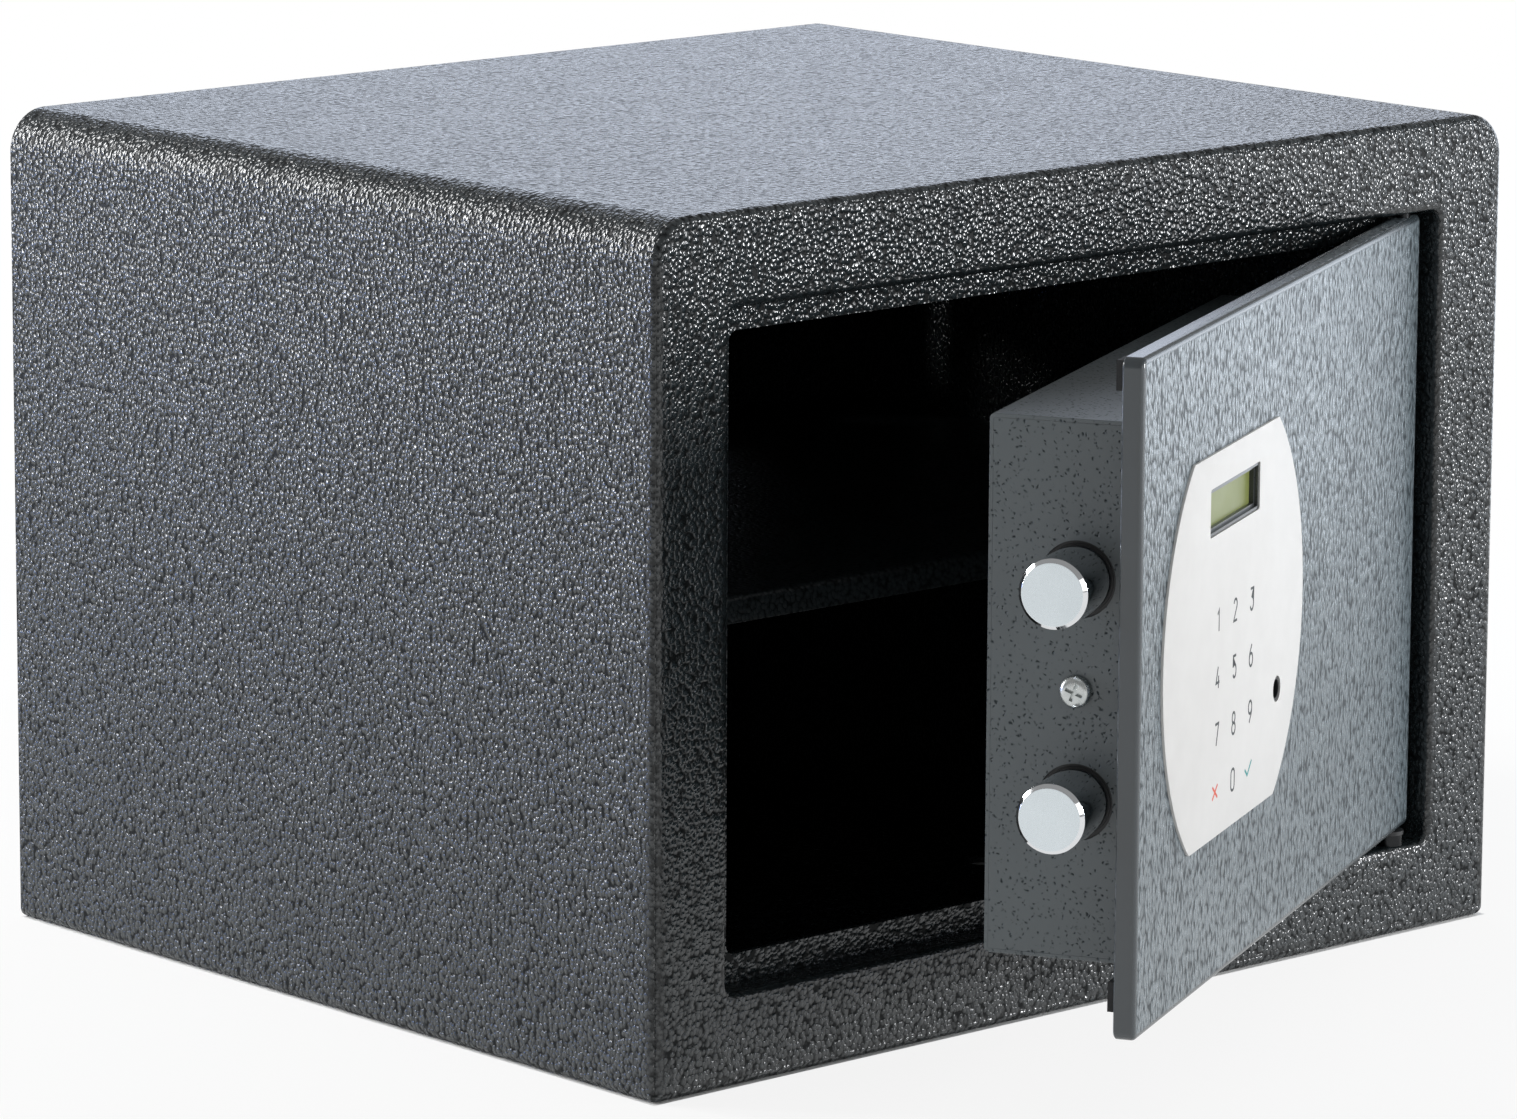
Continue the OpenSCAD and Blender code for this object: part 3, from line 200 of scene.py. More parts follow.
# Grain and clouds are drawn coarser than they are, so that they show; uneven is how far the roughness strays.
# Chrome plate is mirror bright round the bolts, and ground to a satin on their ends.
chromeLook = {"light": "#e2e4e6", "dark": "#dadcde", "grain": 0.5, "cloud": 20, "stretch": (1, 1, 1),
              "roughness": 0.07, "uneven": 0.2, "relief": 0.0004}
polishedChrome = finishedMetal("bolt polished chrome plate", chromeLook)
satinChrome = finishedMetal("bolt satin chrome plate", chromeLook | {
    "light": "#dbe3e7", "dark": "#d5dde1", "roughness": 0.3, "grain": 0.3, "relief": 0.001})
# Zinc plate has a pale cloudy shine, duller on sheet than on screws.
zincLook = {"light": "#cdd0cf", "dark": "#b3b8b8", "grain": 0.5, "cloud": 5, "stretch": (1, 1, 1),
            "roughness": 0.26, "uneven": 0.2, "relief": 0.004}
zincPlate = finishedMetal("zinc-plated screw steel", zincLook)
zincSheet = finishedMetal("zinc-plated sheet", zincLook | {"roughness": 0.38, "cloud": 9})
# Black oxide leaves the pins dark, with the lines of the grinding; brass and nickel keep a warm shine.
pinSteel = finishedMetal("black-oxide pin steel", zincLook | {
    "light": "#313233", "dark": "#292a2b", "stretch": (1, 1, 0.1)})
turnedBrass = finishedMetal("turned brass", zincLook | {"light": "#c9a75e", "dark": "#b08d48"})
nickelSpring = finishedMetal("nickel-plated contact steel", zincLook | {
    "light": "#c8c6bf", "dark": "#b7b5ae"})

# Moulded parts are dull with a fine even grain; the bezel and the button come from a smoother mould.
mouldLook = {"light": "#1b1c1e", "dark": "#151617", "grain": 0.5, "cloud": 9, "roughness": 0.45,
             "uneven": 0.1, "gloss": 0.5, "relief": 0.008, "ior": 1.53}
blackMoulding = mouldedPolymer("black moulded ABS", mouldLook)
bezelMoulding = mouldedPolymer("dark moulded bezel ABS", mouldLook | {
    "light": "#3b3e3f", "dark": "#333637", "roughness": 0.3})
keyMoulding = mouldedPolymer("grey moulded key ABS", mouldLook | {"light": "#a2a5a7", "dark": "#989b9d"})
redMoulding = mouldedPolymer("red moulded button ABS", mouldLook | {
    "light": "#a51d1d", "dark": "#941818", "roughness": 0.25})
bufferRubber = mouldedPolymer("black moulded rubber", mouldLook | {"roughness": 0.75, "relief": 0.02})
siliconeMat = mouldedPolymer("grey cast silicone", mouldLook | {
    "light": "#74777a", "dark": "#6b6e71", "ior": 1.41, "roughness": 0.6})
# Solder mask and the cells' shrunk jackets are thin glossy skins.
solderMask = mouldedPolymer("green solder mask on laminate", mouldLook | {
    "light": "#1f5f38", "dark": "#194f2e", "roughness": 0.3, "relief": 0.003})
printedJacket = mouldedPolymer("printed cell jacket film", mouldLook | {
    "light": "#b39a4e", "dark": "#a18a44", "roughness": 0.25})
# The overlay is matt polyester film, even and slightly silky, and its screened ink has the same sheen.
filmLook = mouldLook | {"light": "#cbcac8", "dark": "#c8c7c5", "grain": 0.3, "roughness": 0.55,
                        "relief": 0.002, "ior": 1.57, "gloss": 0.3}
overlayFilm = mouldedPolymer("printed matt polyester film", filmLook)
greyInk = mouldedPolymer("grey screen ink", filmLook | {"light": "#313538", "dark": "#2d3134"})
redInk = mouldedPolymer("red screen ink", filmLook | {"light": "#cf5238", "dark": "#c54a31"})
tealInk = mouldedPolymer("teal screen ink", filmLook | {"light": "#2a8a8a", "dark": "#258080"})
# Etched against glare, the display's glass shows its green ground with no clear reflection.
displayGlass = mouldedPolymer("anti-glare display glass", filmLook | {
    "light": "#747b45", "dark": "#707742", "grain": 8, "roughness": 0.35, "gloss": 0.2, "relief": 0.0005,
    "ior": 1.52})

finishOf = {"cabinet_paint": cabinetCoat, "shelf_paint": shelfCoat, "door_paint": doorCoat,
            "case_paint": caseCoat, "pin_steel": pinSteel, "zinc_screws": zincPlate,
            "zinc_steel": zincSheet, "bolt_chrome": polishedChrome, "brass_gear": turnedBrass,
            "contact_metal": nickelSpring, "overlay_film": overlayFilm, "insert_plastic": bezelMoulding,
            "black_plastic": blackMoulding, "key_plastic": keyMoulding, "button_red": redMoulding,
            "key_rubber": siliconeMat, "buffer_rubber": bufferRubber, "board_laminate": solderMask,
            "cell_jacket": printedJacket, "lcd_glass": displayGlass}
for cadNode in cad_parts.values():
    for cadSlot in cadNode.material_slots:
        cadSlot.material = finishOf[cadSlot.material.name.split(".")[0]]
print("materials made:", len(bpy.data.materials))


# shapes, drawn in millimetres

fit = {
    "weld": 1e-4,                   # points nearer than this are one
    "near": 0.01,                   # what is this near to a plane or a direction counts as in it
    "sunk": 0.01,                   # what is joined on reaches this far into the other piece
    "past": 1,                      # and a cutter this far past what it cuts
}


def roundedOutline(halfWidth, z0, z1, rTop, rLow, steps=12):    # upright, anticlockwise from the lower right
    points = []
    for cx, cz, r, start in ((halfWidth - rLow, z0 + rLow, rLow, -90),
                             (halfWidth - rTop, z1 - rTop, rTop, 0),
                             (rTop - halfWidth, z1 - rTop, rTop, 90),
                             (rLow - halfWidth, z0 + rLow, rLow, 180)):
        for i in range(steps + 1):
            a = math.radians(start + 90 * i / steps)
            points.append((cx + r * math.cos(a), cz + r * math.sin(a)))
    return points


def rectangle(a0, b0, a1, b1):
    return [(a0, b0), (a1, b0), (a1, b1), (a0, b1)]


def centred(a, b, width, height):
    return rectangle(a - width / 2, b - height / 2, a + width / 2, b + height / 2)


def disc(a, b, r, steps=64):
    return [(a + r * math.cos(2 * math.pi * i / steps), b + r * math.sin(2 * math.pi * i / steps))
            for i in range(steps)]


def quarterTurn(steps):
    return [math.radians(90 * i / steps) for i in range(steps + 1)]


def smoothShade(mesh, angle=32):
    mesh.polygons.foreach_set("use_smooth", [True] * len(mesh.polygons))
    mesh.set_sharp_from_angle(angle=math.radians(angle))


def meshPiece(name, bm, *materials):    # the finished bmesh as an object in metres
    bmesh.ops.remove_doubles(bm, verts=bm.verts, dist=fit["weld"])
    bmesh.ops.dissolve_degenerate(bm, edges=bm.edges, dist=fit["weld"])
    bmesh.ops.recalc_face_normals(bm, faces=bm.faces)
    mesh = bpy.data.meshes.new(name)
    bm.to_mesh(mesh)
    bm.free()
    mesh.transform(Matrix.Scale(mm, 4))
    smoothShade(mesh)
    piece = bpy.data.objects.new(name, mesh)
    bpy.context.scene.collection.objects.link(piece)
    for material in materials:
        mesh.materials.append(material)
    return piece


def skin(bm, rows, closed):             # faces between each row of points and the next
    for first, second in zip(rows, rows[1:] + rows[:1] if closed else rows[1:]):
        for j in range(len(first)):
            k = (j + 1) % len(first)
            corners = dict.fromkeys((first[j], first[k], second[k], second[j]))
            bm.faces.new(list(corners))


def loft(name, rings, material, closed):    # rings of (x, y, z, share of bare coat and painted shade), skinned in order
    bm = bmesh.new()
    bare = bm.verts.layers.float.new("bare")
    rows = []
    for ring in rings:
        row = []
        for x, y, z, share in ring:
            vert = bm.verts.new((x, y, z))
            vert[bare] = share
            row.append(vert)
        rows.append(row)
    skin(bm, rows, closed)
    if not closed:
        bm.faces.new(rows[0])
        bm.faces.new(rows[-1])
    return meshPiece(name, bm, material)


def pushed(name, polygon, axis, low, high, *materials):     # a flat outline made solid along x, y or z
    bm = bmesh.new()
    rows = []
    for t in (low, high):
        spots = {"x": [(t, a, b) for a, b in polygon], "y": [(a, t, b) for a, b in polygon],
                 "z": [(a, b, t) for a, b in polygon]}[axis]
        rows.append([bm.verts.new(spot) for spot in spots])
    skin(bm, rows, False)
    for row in rows:
        bm.faces.new(row)
    return meshPiece(name, bm, *materials)


def cutter(polygon, axis, low, high):   # goes right through, from low to high
    return pushed("cutter", polygon, axis, low - fit["past"], high + fit["past"])


def turned(name, profile, *materials, steps=96):    # a profile of (radius, x) turned about the X axis
    bm = bmesh.new()
    rows = []
    for r, x in profile:
        if r == 0:
            rows.append([bm.verts.new((x, 0, 0))] * steps)
        else:
            rows.append([bm.verts.new((x, a, b)) for a, b in disc(0, 0, r, steps)])
    skin(bm, rows, False)
    return meshPiece(name, bm, *materials)


# Section of a folded sheet. The corners lie on its outer face, and every fold turns left, towards the inside.

def bentStrip(corners, thickness, radius, steps=6):
    outer, inner = [], []
    last = len(corners) - 1
    for i, corner in enumerate(corners):
        here = Vector(corner)
        before = (here - Vector(corners[i - 1])).normalized() if i > 0 else None
        after = (Vector(corners[i + 1]) - here).normalized() if i < last else None
        if before is None or after is None:
            along = after or before
            outer.append(here)
            inner.append(here + Vector((-along.y, along.x)) * thickness)
            continue
        centre = here - before * radius + after * radius
        for a in quarterTurn(steps):
            spoke = before * math.sin(a) - after * math.cos(a)
            outer.append(centre + spoke * radius)
            inner.append(centre + spoke * max(radius - thickness, 0))
    return [tuple(p) for p in outer] + [tuple(p) for p in reversed(inner)]


def shapeWith(piece, tools, operation="DIFFERENCE"):    # cuts the tools out or joins them on, then drops them
    for tool in tools:
        step = piece.modifiers.new("shape", "BOOLEAN")
        step.operation = operation
        step.solver = "EXACT"
        step.object = tool
    bpy.context.view_layer.update()
    shaped = bpy.data.meshes.new_from_object(piece.evaluated_get(bpy.context.evaluated_depsgraph_get()))
    piece.modifiers.clear()
    piece.data = shaped
    for tool in tools:
        bpy.data.objects.remove(tool, do_unlink=True)
    smoothShade(shaped)
    return piece


def soften(piece, width, segments=2, angle=35):     # breaks the sharp edges, as a press or a file leaves them
    bevel = piece.modifiers.new("edge", "BEVEL")
    bevel.width = width * mm
    bevel.segments = segments
    bevel.limit_method = "ANGLE"
    bevel.angle_limit = math.radians(angle)
    bevel.harden_normals = True
    return piece


def place(piece, body, slotName, *nodes):   # the door's and bolts' pieces are drawn shut, then turned open
    if body != "cabinet":
        piece.data.transform(doorTurn)
    if nodes:
        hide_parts(*nodes)
    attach(piece, body)


# cabinet skin: front frame and body wrap, welded and ground flush

cabinet = {
    "halfWidth": 175, "front": -150, "back": 150, "height": 255, "wall": 2,
    "topRadius": 13, "bend": 3, "lip": 8, "fold": 10,
    "fade": 1.6,                    # mm over which the thinner, smoother coat and its painted shade fade out beside a bend
    "crease": 0.3,                  # depth of the line down each upright corner, where frame and side meet
    "cornerBare": 0.4,              # share of bumps lost, and of colour painted dark as shade, on the upright bends
    "topBare": 0.0,                 # and on the bend along the top
}
opening = {
    "halfWidth": 147, "low": 28, "high": 227, "radius": 3, "bend": 2, "return": 5,
    "fade": 1.2,
    "bendBare": 0.5,                # share of bumps lost, and of colour painted dark as shade, on the bend round the opening
    "returnBare": 0.2,              # and on the inner end of its return
}


def bodyOutline(inset):
    c = cabinet
    return roundedOutline(c["halfWidth"] - inset, inset, c["height"] - inset, c["topRadius"] - inset,
                          max(c["bend"] - inset, 0))


def openingOutline(grow):
    o = opening
    return roundedOutline(o["halfWidth"] + grow, o["low"] - grow, o["high"] + grow, o["radius"] + grow,
                          o["radius"] + grow)


def ringAt(y, outline, bare=0.0):
    return [(x, y, z, bare) for x, z in outline]


def bendRing(angle, outerRadius, depth):    # one ring round the outer bend, pressed in on the upright sides
    c = cabinet
    y = c["front"] + c["bend"] - outerRadius * math.cos(angle)
    inset = c["bend"] - outerRadius * math.sin(angle)
    ring = []
    for x, z in bodyOutline(inset):
        upright = abs(abs(x) - (c["halfWidth"] - inset)) < fit["near"]
        press = depth if upright else 0
        ring.append((x - math.copysign(press * math.sin(angle), x), y + press * math.cos(angle), z,
                     c["cornerBare"] if upright else c["topBare"]))
    return ring


def makeFrontFrame(steps=12):
    c, o = cabinet, opening
    front, bend, wall, r = c["front"], c["bend"], c["wall"], o["bend"]
    rings = [ringAt(front + o["return"], openingOutline(0), o["returnBare"])]
    for a in quarterTurn(steps):
        rings.append(ringAt(front + r - r * math.sin(a), openingOutline(r - r * math.cos(a)), o["bendBare"]))
    rings.append(ringAt(front, openingOutline(r + o["fade"])))
    rings.append(ringAt(front, bodyOutline(bend + c["fade"])))
    for i, a in enumerate(quarterTurn(steps)):
        rings.append(bendRing(a, bend, c["crease"] if i == steps // 2 else 0))
    rings.append(ringAt(front + bend + c["fade"], bodyOutline(0)))
    rings.append(ringAt(front + c["lip"], bodyOutline(0)))
    rings.append(ringAt(front + c["lip"], bodyOutline(wall)))
    rings += [bendRing(a, bend - wall, 0) for a in reversed(quarterTurn(steps))]
    rings.append(ringAt(front + wall, openingOutline(wall)))
    rings.append(ringAt(front + o["return"], openingOutline(wall)))
    place(loft("front_frame_skin", rings, cabinetCoat, True), "cabinet", "cabinet_paint", "front_frame")


def makeBodyWrap():
    c = cabinet
    foldX = c["halfWidth"] - c["fold"]
    outer = [(foldX, 0)] + bodyOutline(0) + [(-foldX, 0)]
    inner = [(-foldX, c["wall"])] + bodyOutline(c["wall"])[::-1] + [(foldX, c["wall"])]
    wrap = pushed("body_wrap_skin", outer + inner, "y", c["front"] + c["lip"], c["back"], cabinetCoat)
    place(wrap, "cabinet", "cabinet_paint", "body_wrap")


makeFrontFrame()
makeBodyWrap()
print("cabinet skin made")


# shelf, folded down at the front and the back

shelf = {"halfWidth": 172.2, "front": -90, "back": 147.2, "top": 128.2, "lip": 8.4, "sheet": 1.2, "bend": 2.6,
         "edge": 0.25}


def makeShelf():
    s = shelf
    low = s["top"] - s["lip"]
    path = [(s["back"], low), (s["back"], s["top"]), (s["front"], s["top"]), (s["front"], low)]
    section = bentStrip(path, s["sheet"], s["bend"])
    sheet = pushed("shelf_sheet", section, "x", -s["halfWidth"], s["halfWidth"], shelfCoat)
    place(soften(sheet, s["edge"]), "cabinet", "shelf_paint", "shelf")


makeShelf()
print("shelf made")


# door plate with pressed, rounded front edges

door = {
    "halfWidth": 145, "low": 33, "high": 225.5, "corner": 3, "front": -148.5, "back": -142.3,
    "edge": 1.5, "backEdge": 0.4, "pinBore": 2.05, "pinDepth": 14,
    "fade": 0.6,
    "edgeBare": 1.0,                # no bumps round the edge and its colour painted dark as shade; half of each round the back
    "backBare": 0.5,
}
keypad = {"x": -54.5, "z": 131.75, "insertWidth": 74, "insertHeight": 104,
          "socketX": -10, "socketZ": 106.75, "socketHole": 3.85, "socketBody": 4.75}


def doorOutline(inset):
    d = door
    corner = d["corner"] - inset
    return roundedOutline(d["halfWidth"] - inset, d["low"] + inset, d["high"] - inset, corner, corner)


def insertOutline():
    k = keypad
    return centred(k["x"], k["z"], k["insertWidth"], k["insertHeight"])


def socketOutline(radius):
    return disc(keypad["socketX"], keypad["socketZ"], radius)


def makeDoorPlate(steps=8):
    d = door
    rings = [ringAt(d["back"], doorOutline(d["backEdge"]), d["backBare"]),
             ringAt(d["back"] - d["backEdge"], doorOutline(0), d["edgeBare"])]
    for a in quarterTurn(steps):
        rings.append(ringAt(d["front"] + d["edge"] * (1 - math.sin(a)),
                            doorOutline(d["edge"] * (1 - math.cos(a))), d["edgeBare"]))
    rings.append(ringAt(d["front"], doorOutline(d["edge"] + d["fade"])))
    plate = loft("door_plate_skin", rings, doorCoat, False)
    tools = [cutter(insertOutline(), "y", d["front"], d["back"]),
             cutter(socketOutline(keypad["socketBody"]), "y", d["front"], d["back"])]
    for low in (d["low"] - fit["past"], d["high"] - d["pinDepth"]):     # blind bores for the pins
        tools.append(pushed("cutter", disc(hinge["x"], hinge["y"], d["pinBore"]), "z", low,
                            low + d["pinDepth"] + fit["past"]))
    place(shapeWith(plate, tools), "door", "door_paint", "door_plate")


makeDoorPlate()
print("door plate made")


# bolt case: an inner sheet with both ends, and a cover lapped over them

case = {"x0": -131, "x1": 92, "z0": 51.5, "z1": 205.2, "y0": -142.3, "y1": -99.8, "sheet": 1.2,
        "endBend": 1.3, "coverBend": 1.5, "edge": 0.15, "tabWidth": 14, "tabHeight": 16, "screwHole": 1.55,
        "screwInset": 7, "screwRise": 8, "boltHole": 11, "buttonX": 59.55, "buttonZ": 176, "buttonHole": 4.55}
bolt = {"y": -126, "z": (96.7, 160.0), "radius": 10, "tip": -154.4, "end": -111, "chamfer": 1.1,
        "edge": 0.12, "screwHole": 2.55, "screwDepth": 16}
tray = {"x": 47.55, "z": 91.75, "width": 53.5, "height": 59.5, "lap": 4, "lid": 2, "rim": 1, "rimGap": 0.3}


def coverScrewSpots():
    c = case
    inset = c["sheet"] + c["screwInset"]
    return [(x, z) for x in (c["x0"] + inset, c["x1"] - inset)
            for z in (c["z0"] + c["screwRise"], c["z1"] - c["screwRise"])]


def makeCaseEnds():
    c, b = case, bolt
    outside = c["y1"] - c["sheet"]                      # the tabs lie against the cover from within
    inside = outside - c["sheet"]
    low, high = c["z0"] + c["sheet"], c["z1"] - c["sheet"]
    path = [(c["x0"], outside), (c["x0"], c["y0"]), (c["x1"], c["y0"]), (c["x1"], outside)]
    bracket = pushed("bolt_case_ends", bentStrip(path, c["sheet"], c["endBend"]), "z", low, high, caseCoat)
    reach = c["tabWidth"] + c["sheet"]
    tabs = [pushed("tab", rectangle(x, z, x + reach, z + c["tabHeight"]), "y", inside, outside)
            for x in (c["x0"] + fit["sunk"], c["x1"] - reach - fit["sunk"])
            for z in (low, high - c["tabHeight"])]
    shapeWith(bracket, tabs, "UNION")
    tools = [cutter(insertOutline(), "y", c["y0"], c["y0"] + c["sheet"]),
             cutter(socketOutline(keypad["socketBody"]), "y", c["y0"], c["y0"] + c["sheet"])]
    for z in b["z"]:
        tools.append(cutter(disc(b["y"], z, c["boltHole"], 96), "x", c["x0"], c["x0"] + c["sheet"]))
    for x, z in coverScrewSpots():
        tools.append(cutter(disc(x, z, c["screwHole"]), "y", inside, outside))
    place(shapeWith(bracket, tools), "door", "case_paint", "lock_bracket")


def makeCaseCover():
    c, t = case, tray
    inside = c["y1"] - c["sheet"]
    path = [(c["y0"], c["z0"]), (c["y1"], c["z0"]), (c["y1"], c["z1"]), (c["y0"], c["z1"])]
    section = bentStrip(path, c["sheet"], c["coverBend"])
    cover = pushed("bolt_case_cover", section, "x", c["x0"], c["x1"], caseCoat)
    tools = [cutter(centred(t["x"], t["z"], t["width"], t["height"]), "y", inside, c["y1"]),
             cutter(disc(c["buttonX"], c["buttonZ"], c["buttonHole"]), "y", inside, c["y1"])]
    for x, z in coverScrewSpots():
        tools.append(cutter(disc(x, z, c["screwHole"]), "y", inside, c["y1"]))
    place(soften(shapeWith(cover, tools), c["edge"]), "door", "case_paint", "case_cover")


makeCaseEnds()
makeCaseCover()
print("bolt case made")


# bolts: plated bar, mirror bright round the side and satin on the end

def makeBolts():
    b = bolt
    r, tip, c = b["radius"], b["tip"], b["chamfer"]
    profile = [(0, tip), (r - c, tip), (r, tip + c), (r, b["end"]), (b["screwHole"], b["end"]),
               (b["screwHole"], b["end"] - b["screwDepth"]), (0, b["end"] - b["screwDepth"])]
    for name, z in zip(("bolt_lower", "bolt_upper"), b["z"]):
        bar = turned(name + "_bar", profile, polishedChrome, satinChrome, steps=128)
        for face in bar.data.polygons:
            if face.normal.x < fit["near"] - 1:         # the flat of the tip
                face.material_index = 1
        bar.data.transform(Matrix.Translation((0, b["y"] * mm, z * mm)))
        place(soften(bar, b["edge"]), "bolts", "bolt_chrome", name)


makeBolts()
print("bolts made")


# pan-head screws with a cross recess

# Crown is the share of the head's height that is domed, flat the share of its radius that isn't, and under
# the small bevel below it.
panHead = {"radius": 4.6, "height": 2.6, "crown": 0.62, "flat": 0.45, "under": 0.25, "shank": 2.25,
           "length": 15.2, "arm": 1.1, "reach": 2.6, "depth": 1.4, "edge": 0.12, "turn": 20}
coverHead = panHead | {"radius": 2.75, "height": 1.8, "shank": 1.5, "length": 3.4, "arm": 0.7, "reach": 1.6,
                       "depth": 0.9, "edge": 0.08, "turn": 33}


def panScrew(name, s, steps=6):     # head at x below 0, shank along +X
    r, h, crown, flat, under = s["radius"], s["height"], s["height"] * s["crown"], s["flat"], s["under"]
    dome = [(0, -h)]
    for a in quarterTurn(steps)[1:]:
        dome.append((r * flat + r * (1 - flat) * math.sin(a), -h + crown * (1 - math.cos(a))))
    shank = [(s["shank"], 0), (s["shank"], s["length"]), (0, s["length"])]
    screw = turned(name, dome + [(r, -under), (r - under, 0)] + shank, zincPlate, steps=64)
    w, l = s["arm"] / 2, s["reach"]
    cross = [(-w, -l), (w, -l), (w, -w), (l, -w), (l, w), (w, w), (w, l), (-w, l), (-w, w), (-l, w), (-l, -w),
             (-w, -w)]
    return shapeWith(screw, [pushed("cutter", cross, "x", -h - fit["past"], -h + s["depth"])])


def makeScrews():
    c, b = case, bolt
    side = panScrew("side_screw_pan", panHead)
    side.data.transform(Matrix.Translation((c["x0"] * mm, b["y"] * mm, sum(b["z"]) / 2 * mm))
                        @ Matrix.Rotation(math.radians(panHead["turn"]), 4, "X"))
    place(soften(side, panHead["edge"]), "door", "zinc_screws", "side_screw")
    four = panScrew("cover_screws_pan", coverHead)
    bm = bmesh.new()
    for i, (x, z) in enumerate(coverScrewSpots()):      # each was tightened to its own angle
        one = four.data.copy()
        one.transform(Matrix.Translation((x * mm, c["y1"] * mm, z * mm))
                      @ Matrix.Rotation(math.radians(-90), 4, "Z")
                      @ Matrix.Rotation(math.radians(coverHead["turn"] * i), 4, "X"))
        bm.from_mesh(one)
    bm.to_mesh(four.data)
    bm.free()
    smoothShade(four.data)
    place(soften(four, coverHead["edge"]), "door", "zinc_screws", "cover_screws")


makeScrews()
print("screws made")


# keypad overlay: a disc with two straight edges, open over the display and the socket

overlay = {"radius": 70.4, "height": 112.2, "corner": 1.6, "thick": 0.8, "edge": 0.15, "edgeMiddle": 0.3,
           "windowX": -56.2, "windowZ": 171.05, "windowWidth": 49.5, "windowHeight": 14, "windowCorner": 0.8}


def overlayOutline(inset, sideSteps=40, cornerSteps=6):
    o, k = overlay, keypad
    big, half, r = o["radius"] - inset, o["height"] / 2 - inset, o["corner"]
    reach = math.sqrt((big - r) ** 2 - (half - r) ** 2)
    meet = math.atan2(half - r, reach)                  # where a round side meets its corners
    angles = [meet * (2 * i / sideSteps - 1) for i in range(sideSteps + 1)]
    right = [(big * math.cos(a), big * math.sin(a)) for a in angles]
    angles = [meet + (math.pi / 2 - meet) * i / cornerSteps for i in range(1, cornerSteps + 1)]
    fillet = [(reach + r * math.cos(a), half - r + r * math.sin(a)) for a in angles]
    top = right + fillet + [(-x, z) for x, z in reversed(fillet)]
    bottom = [(-x, z) for x, z in reversed(right)] + [(-x, -z) for x, z in fillet]
    outline = top + bottom + [(x, -z) for x, z in reversed(fillet)]
    return [(k["x"] + x, k["z"] + z) for x, z in outline]


def makeOverlay():
    o, back = overlay, door["front"]
    front, edge = back - o["thick"], o["edge"]
    middle = edge * o["edgeMiddle"]
    rings = [ringAt(back, overlayOutline(0)), ringAt(front + edge, overlayOutline(0)),
             ringAt(front + middle, overlayOutline(middle)), ringAt(front, overlayOutline(edge))]
    film = loft("keypad_overlay_film", rings, overlayFilm, False)
    halfHeight = o["windowHeight"] / 2
    upright = roundedOutline(o["windowWidth"] / 2, o["windowZ"] - halfHeight, o["windowZ"] + halfHeight,
                             o["windowCorner"], o["windowCorner"], 5)
    window = [(o["windowX"] + x, z) for x, z in upright]
    tools = [cutter(window, "y", front, back), cutter(socketOutline(keypad["socketHole"]), "y", front, back)]
    place(shapeWith(film, tools), "door", "overlay_film", "keypad_overlay")


makeOverlay()
print("overlay made")


# printed digits: strokes of ink on the overlay, drawn in a cell of their own width and height

digits = {
    "width": 4.2, "height": 7.1, "stroke": 0.8, "ink": 0.03,
    "firstX": -71.3, "pitchX": 16.8, "firstZ": 138.75, "pitchZ": 16.6,
    "mitre": 0.55,                  # a corner widens the stroke to 1 / mitre at most
    "cross": (2.5, 1.9),            # half width and half height of the two signs beside the zero
    "tick": (3.4, 2.1),
    "signShift": -1,                # and how far they stand to the right of their columns
}


def arc(cx, cz, rx, rz, start, end, steps=10):
    angles = [math.radians(start + (end - start) * i / steps) for i in range(steps + 1)]
    return [(cx + rx * math.cos(a), cz + rz * math.sin(a)) for a in angles]


def digitStrokes(digit):            # each stroke is (points, closed), in a cell from -1 to 1 both ways
    if digit == "9":                # a six turned over
        return [([(-x, -z) for x, z in points], closed) for points, closed in digitStrokes("6")]
    upper, lower = arc(0, 0.5, 0.85, 0.5, 0, 360, 20)[:-1], arc(0, -0.48, 1, 0.52, 0, 360, 20)[:-1]
    bowl = arc(0, -0.4, 1, 0.6, 0, 360, 20)[:-1]
    return {
        "0": [(arc(0, 0.55, 1, 0.45, 0, 180) + arc(0, -0.55, 1, 0.45, 180, 360), True)],
        "1": [([(-0.6, 0.6), (0.25, 1), (0.25, -1)], False)],
        "2": [(arc(0, 0.5, 0.95, 0.5, 165, -30) + [(-1, -1), (1, -1)], False)],
        "3": [([(-0.85, 1), (0.85, 1), (-0.1, 0.25)] + arc(-0.05, -0.4, 1, 0.6, 80, -160, 14), False)],
        "4": [([(0.2, 1), (-1, -0.45), (1, -0.45)], False), ([(0.45, 0.15), (0.45, -1)], False)],
        "5": [([(0.85, 1), (-0.75, 1), (-0.85, 0.1)] + arc(0, -0.4, 0.95, 0.6, 125, -150, 16), False)],
        "6": [([(0.45, 1)] + arc(0.4, -0.35, 1.4, 1, 135, 180, 6)[:-1] + [(-1, -0.38)], False), (bowl, True)],
        "7": [([(-1, 1), (1, 1), (-0.35, -1)], False)],
        "8": [(upper, True), (lower, True)],
    }[digit]


def inkStroke(points, closed, name, ink):   # a strip of one width along the points
    outer, inner = [], []
    count = len(points)
    for i, point in enumerate(points):
        here = Vector(point)
        before = here - Vector(points[i - 1]) if closed or i > 0 else None
        after = Vector(points[(i + 1) % count]) - here if closed or i < count - 1 else None
        a, b = (before or after).normalized(), (after or before).normalized()
        side = Vector((-a.y - b.y, a.x + b.x)).normalized()
        reach = digits["stroke"] / 2 / max(side.dot(Vector((-a.y, a.x))), digits["mitre"])
        outer.append(tuple(here + side * reach))
        inner.append(tuple(here - side * reach))
    y1 = door["front"] - overlay["thick"]
    y0 = y1 - digits["ink"]
    if not closed:
        return pushed(name, outer + inner[::-1], "y", y0, y1, ink)
    bm = bmesh.new()
    rows = []
    for line, y in ((outer, y0), (outer, y1), (inner, y1), (inner, y0)):
        rows.append([bm.verts.new((x, y, z)) for x, z in line])
    skin(bm, rows, True)
    return meshPiece(name, bm, ink)


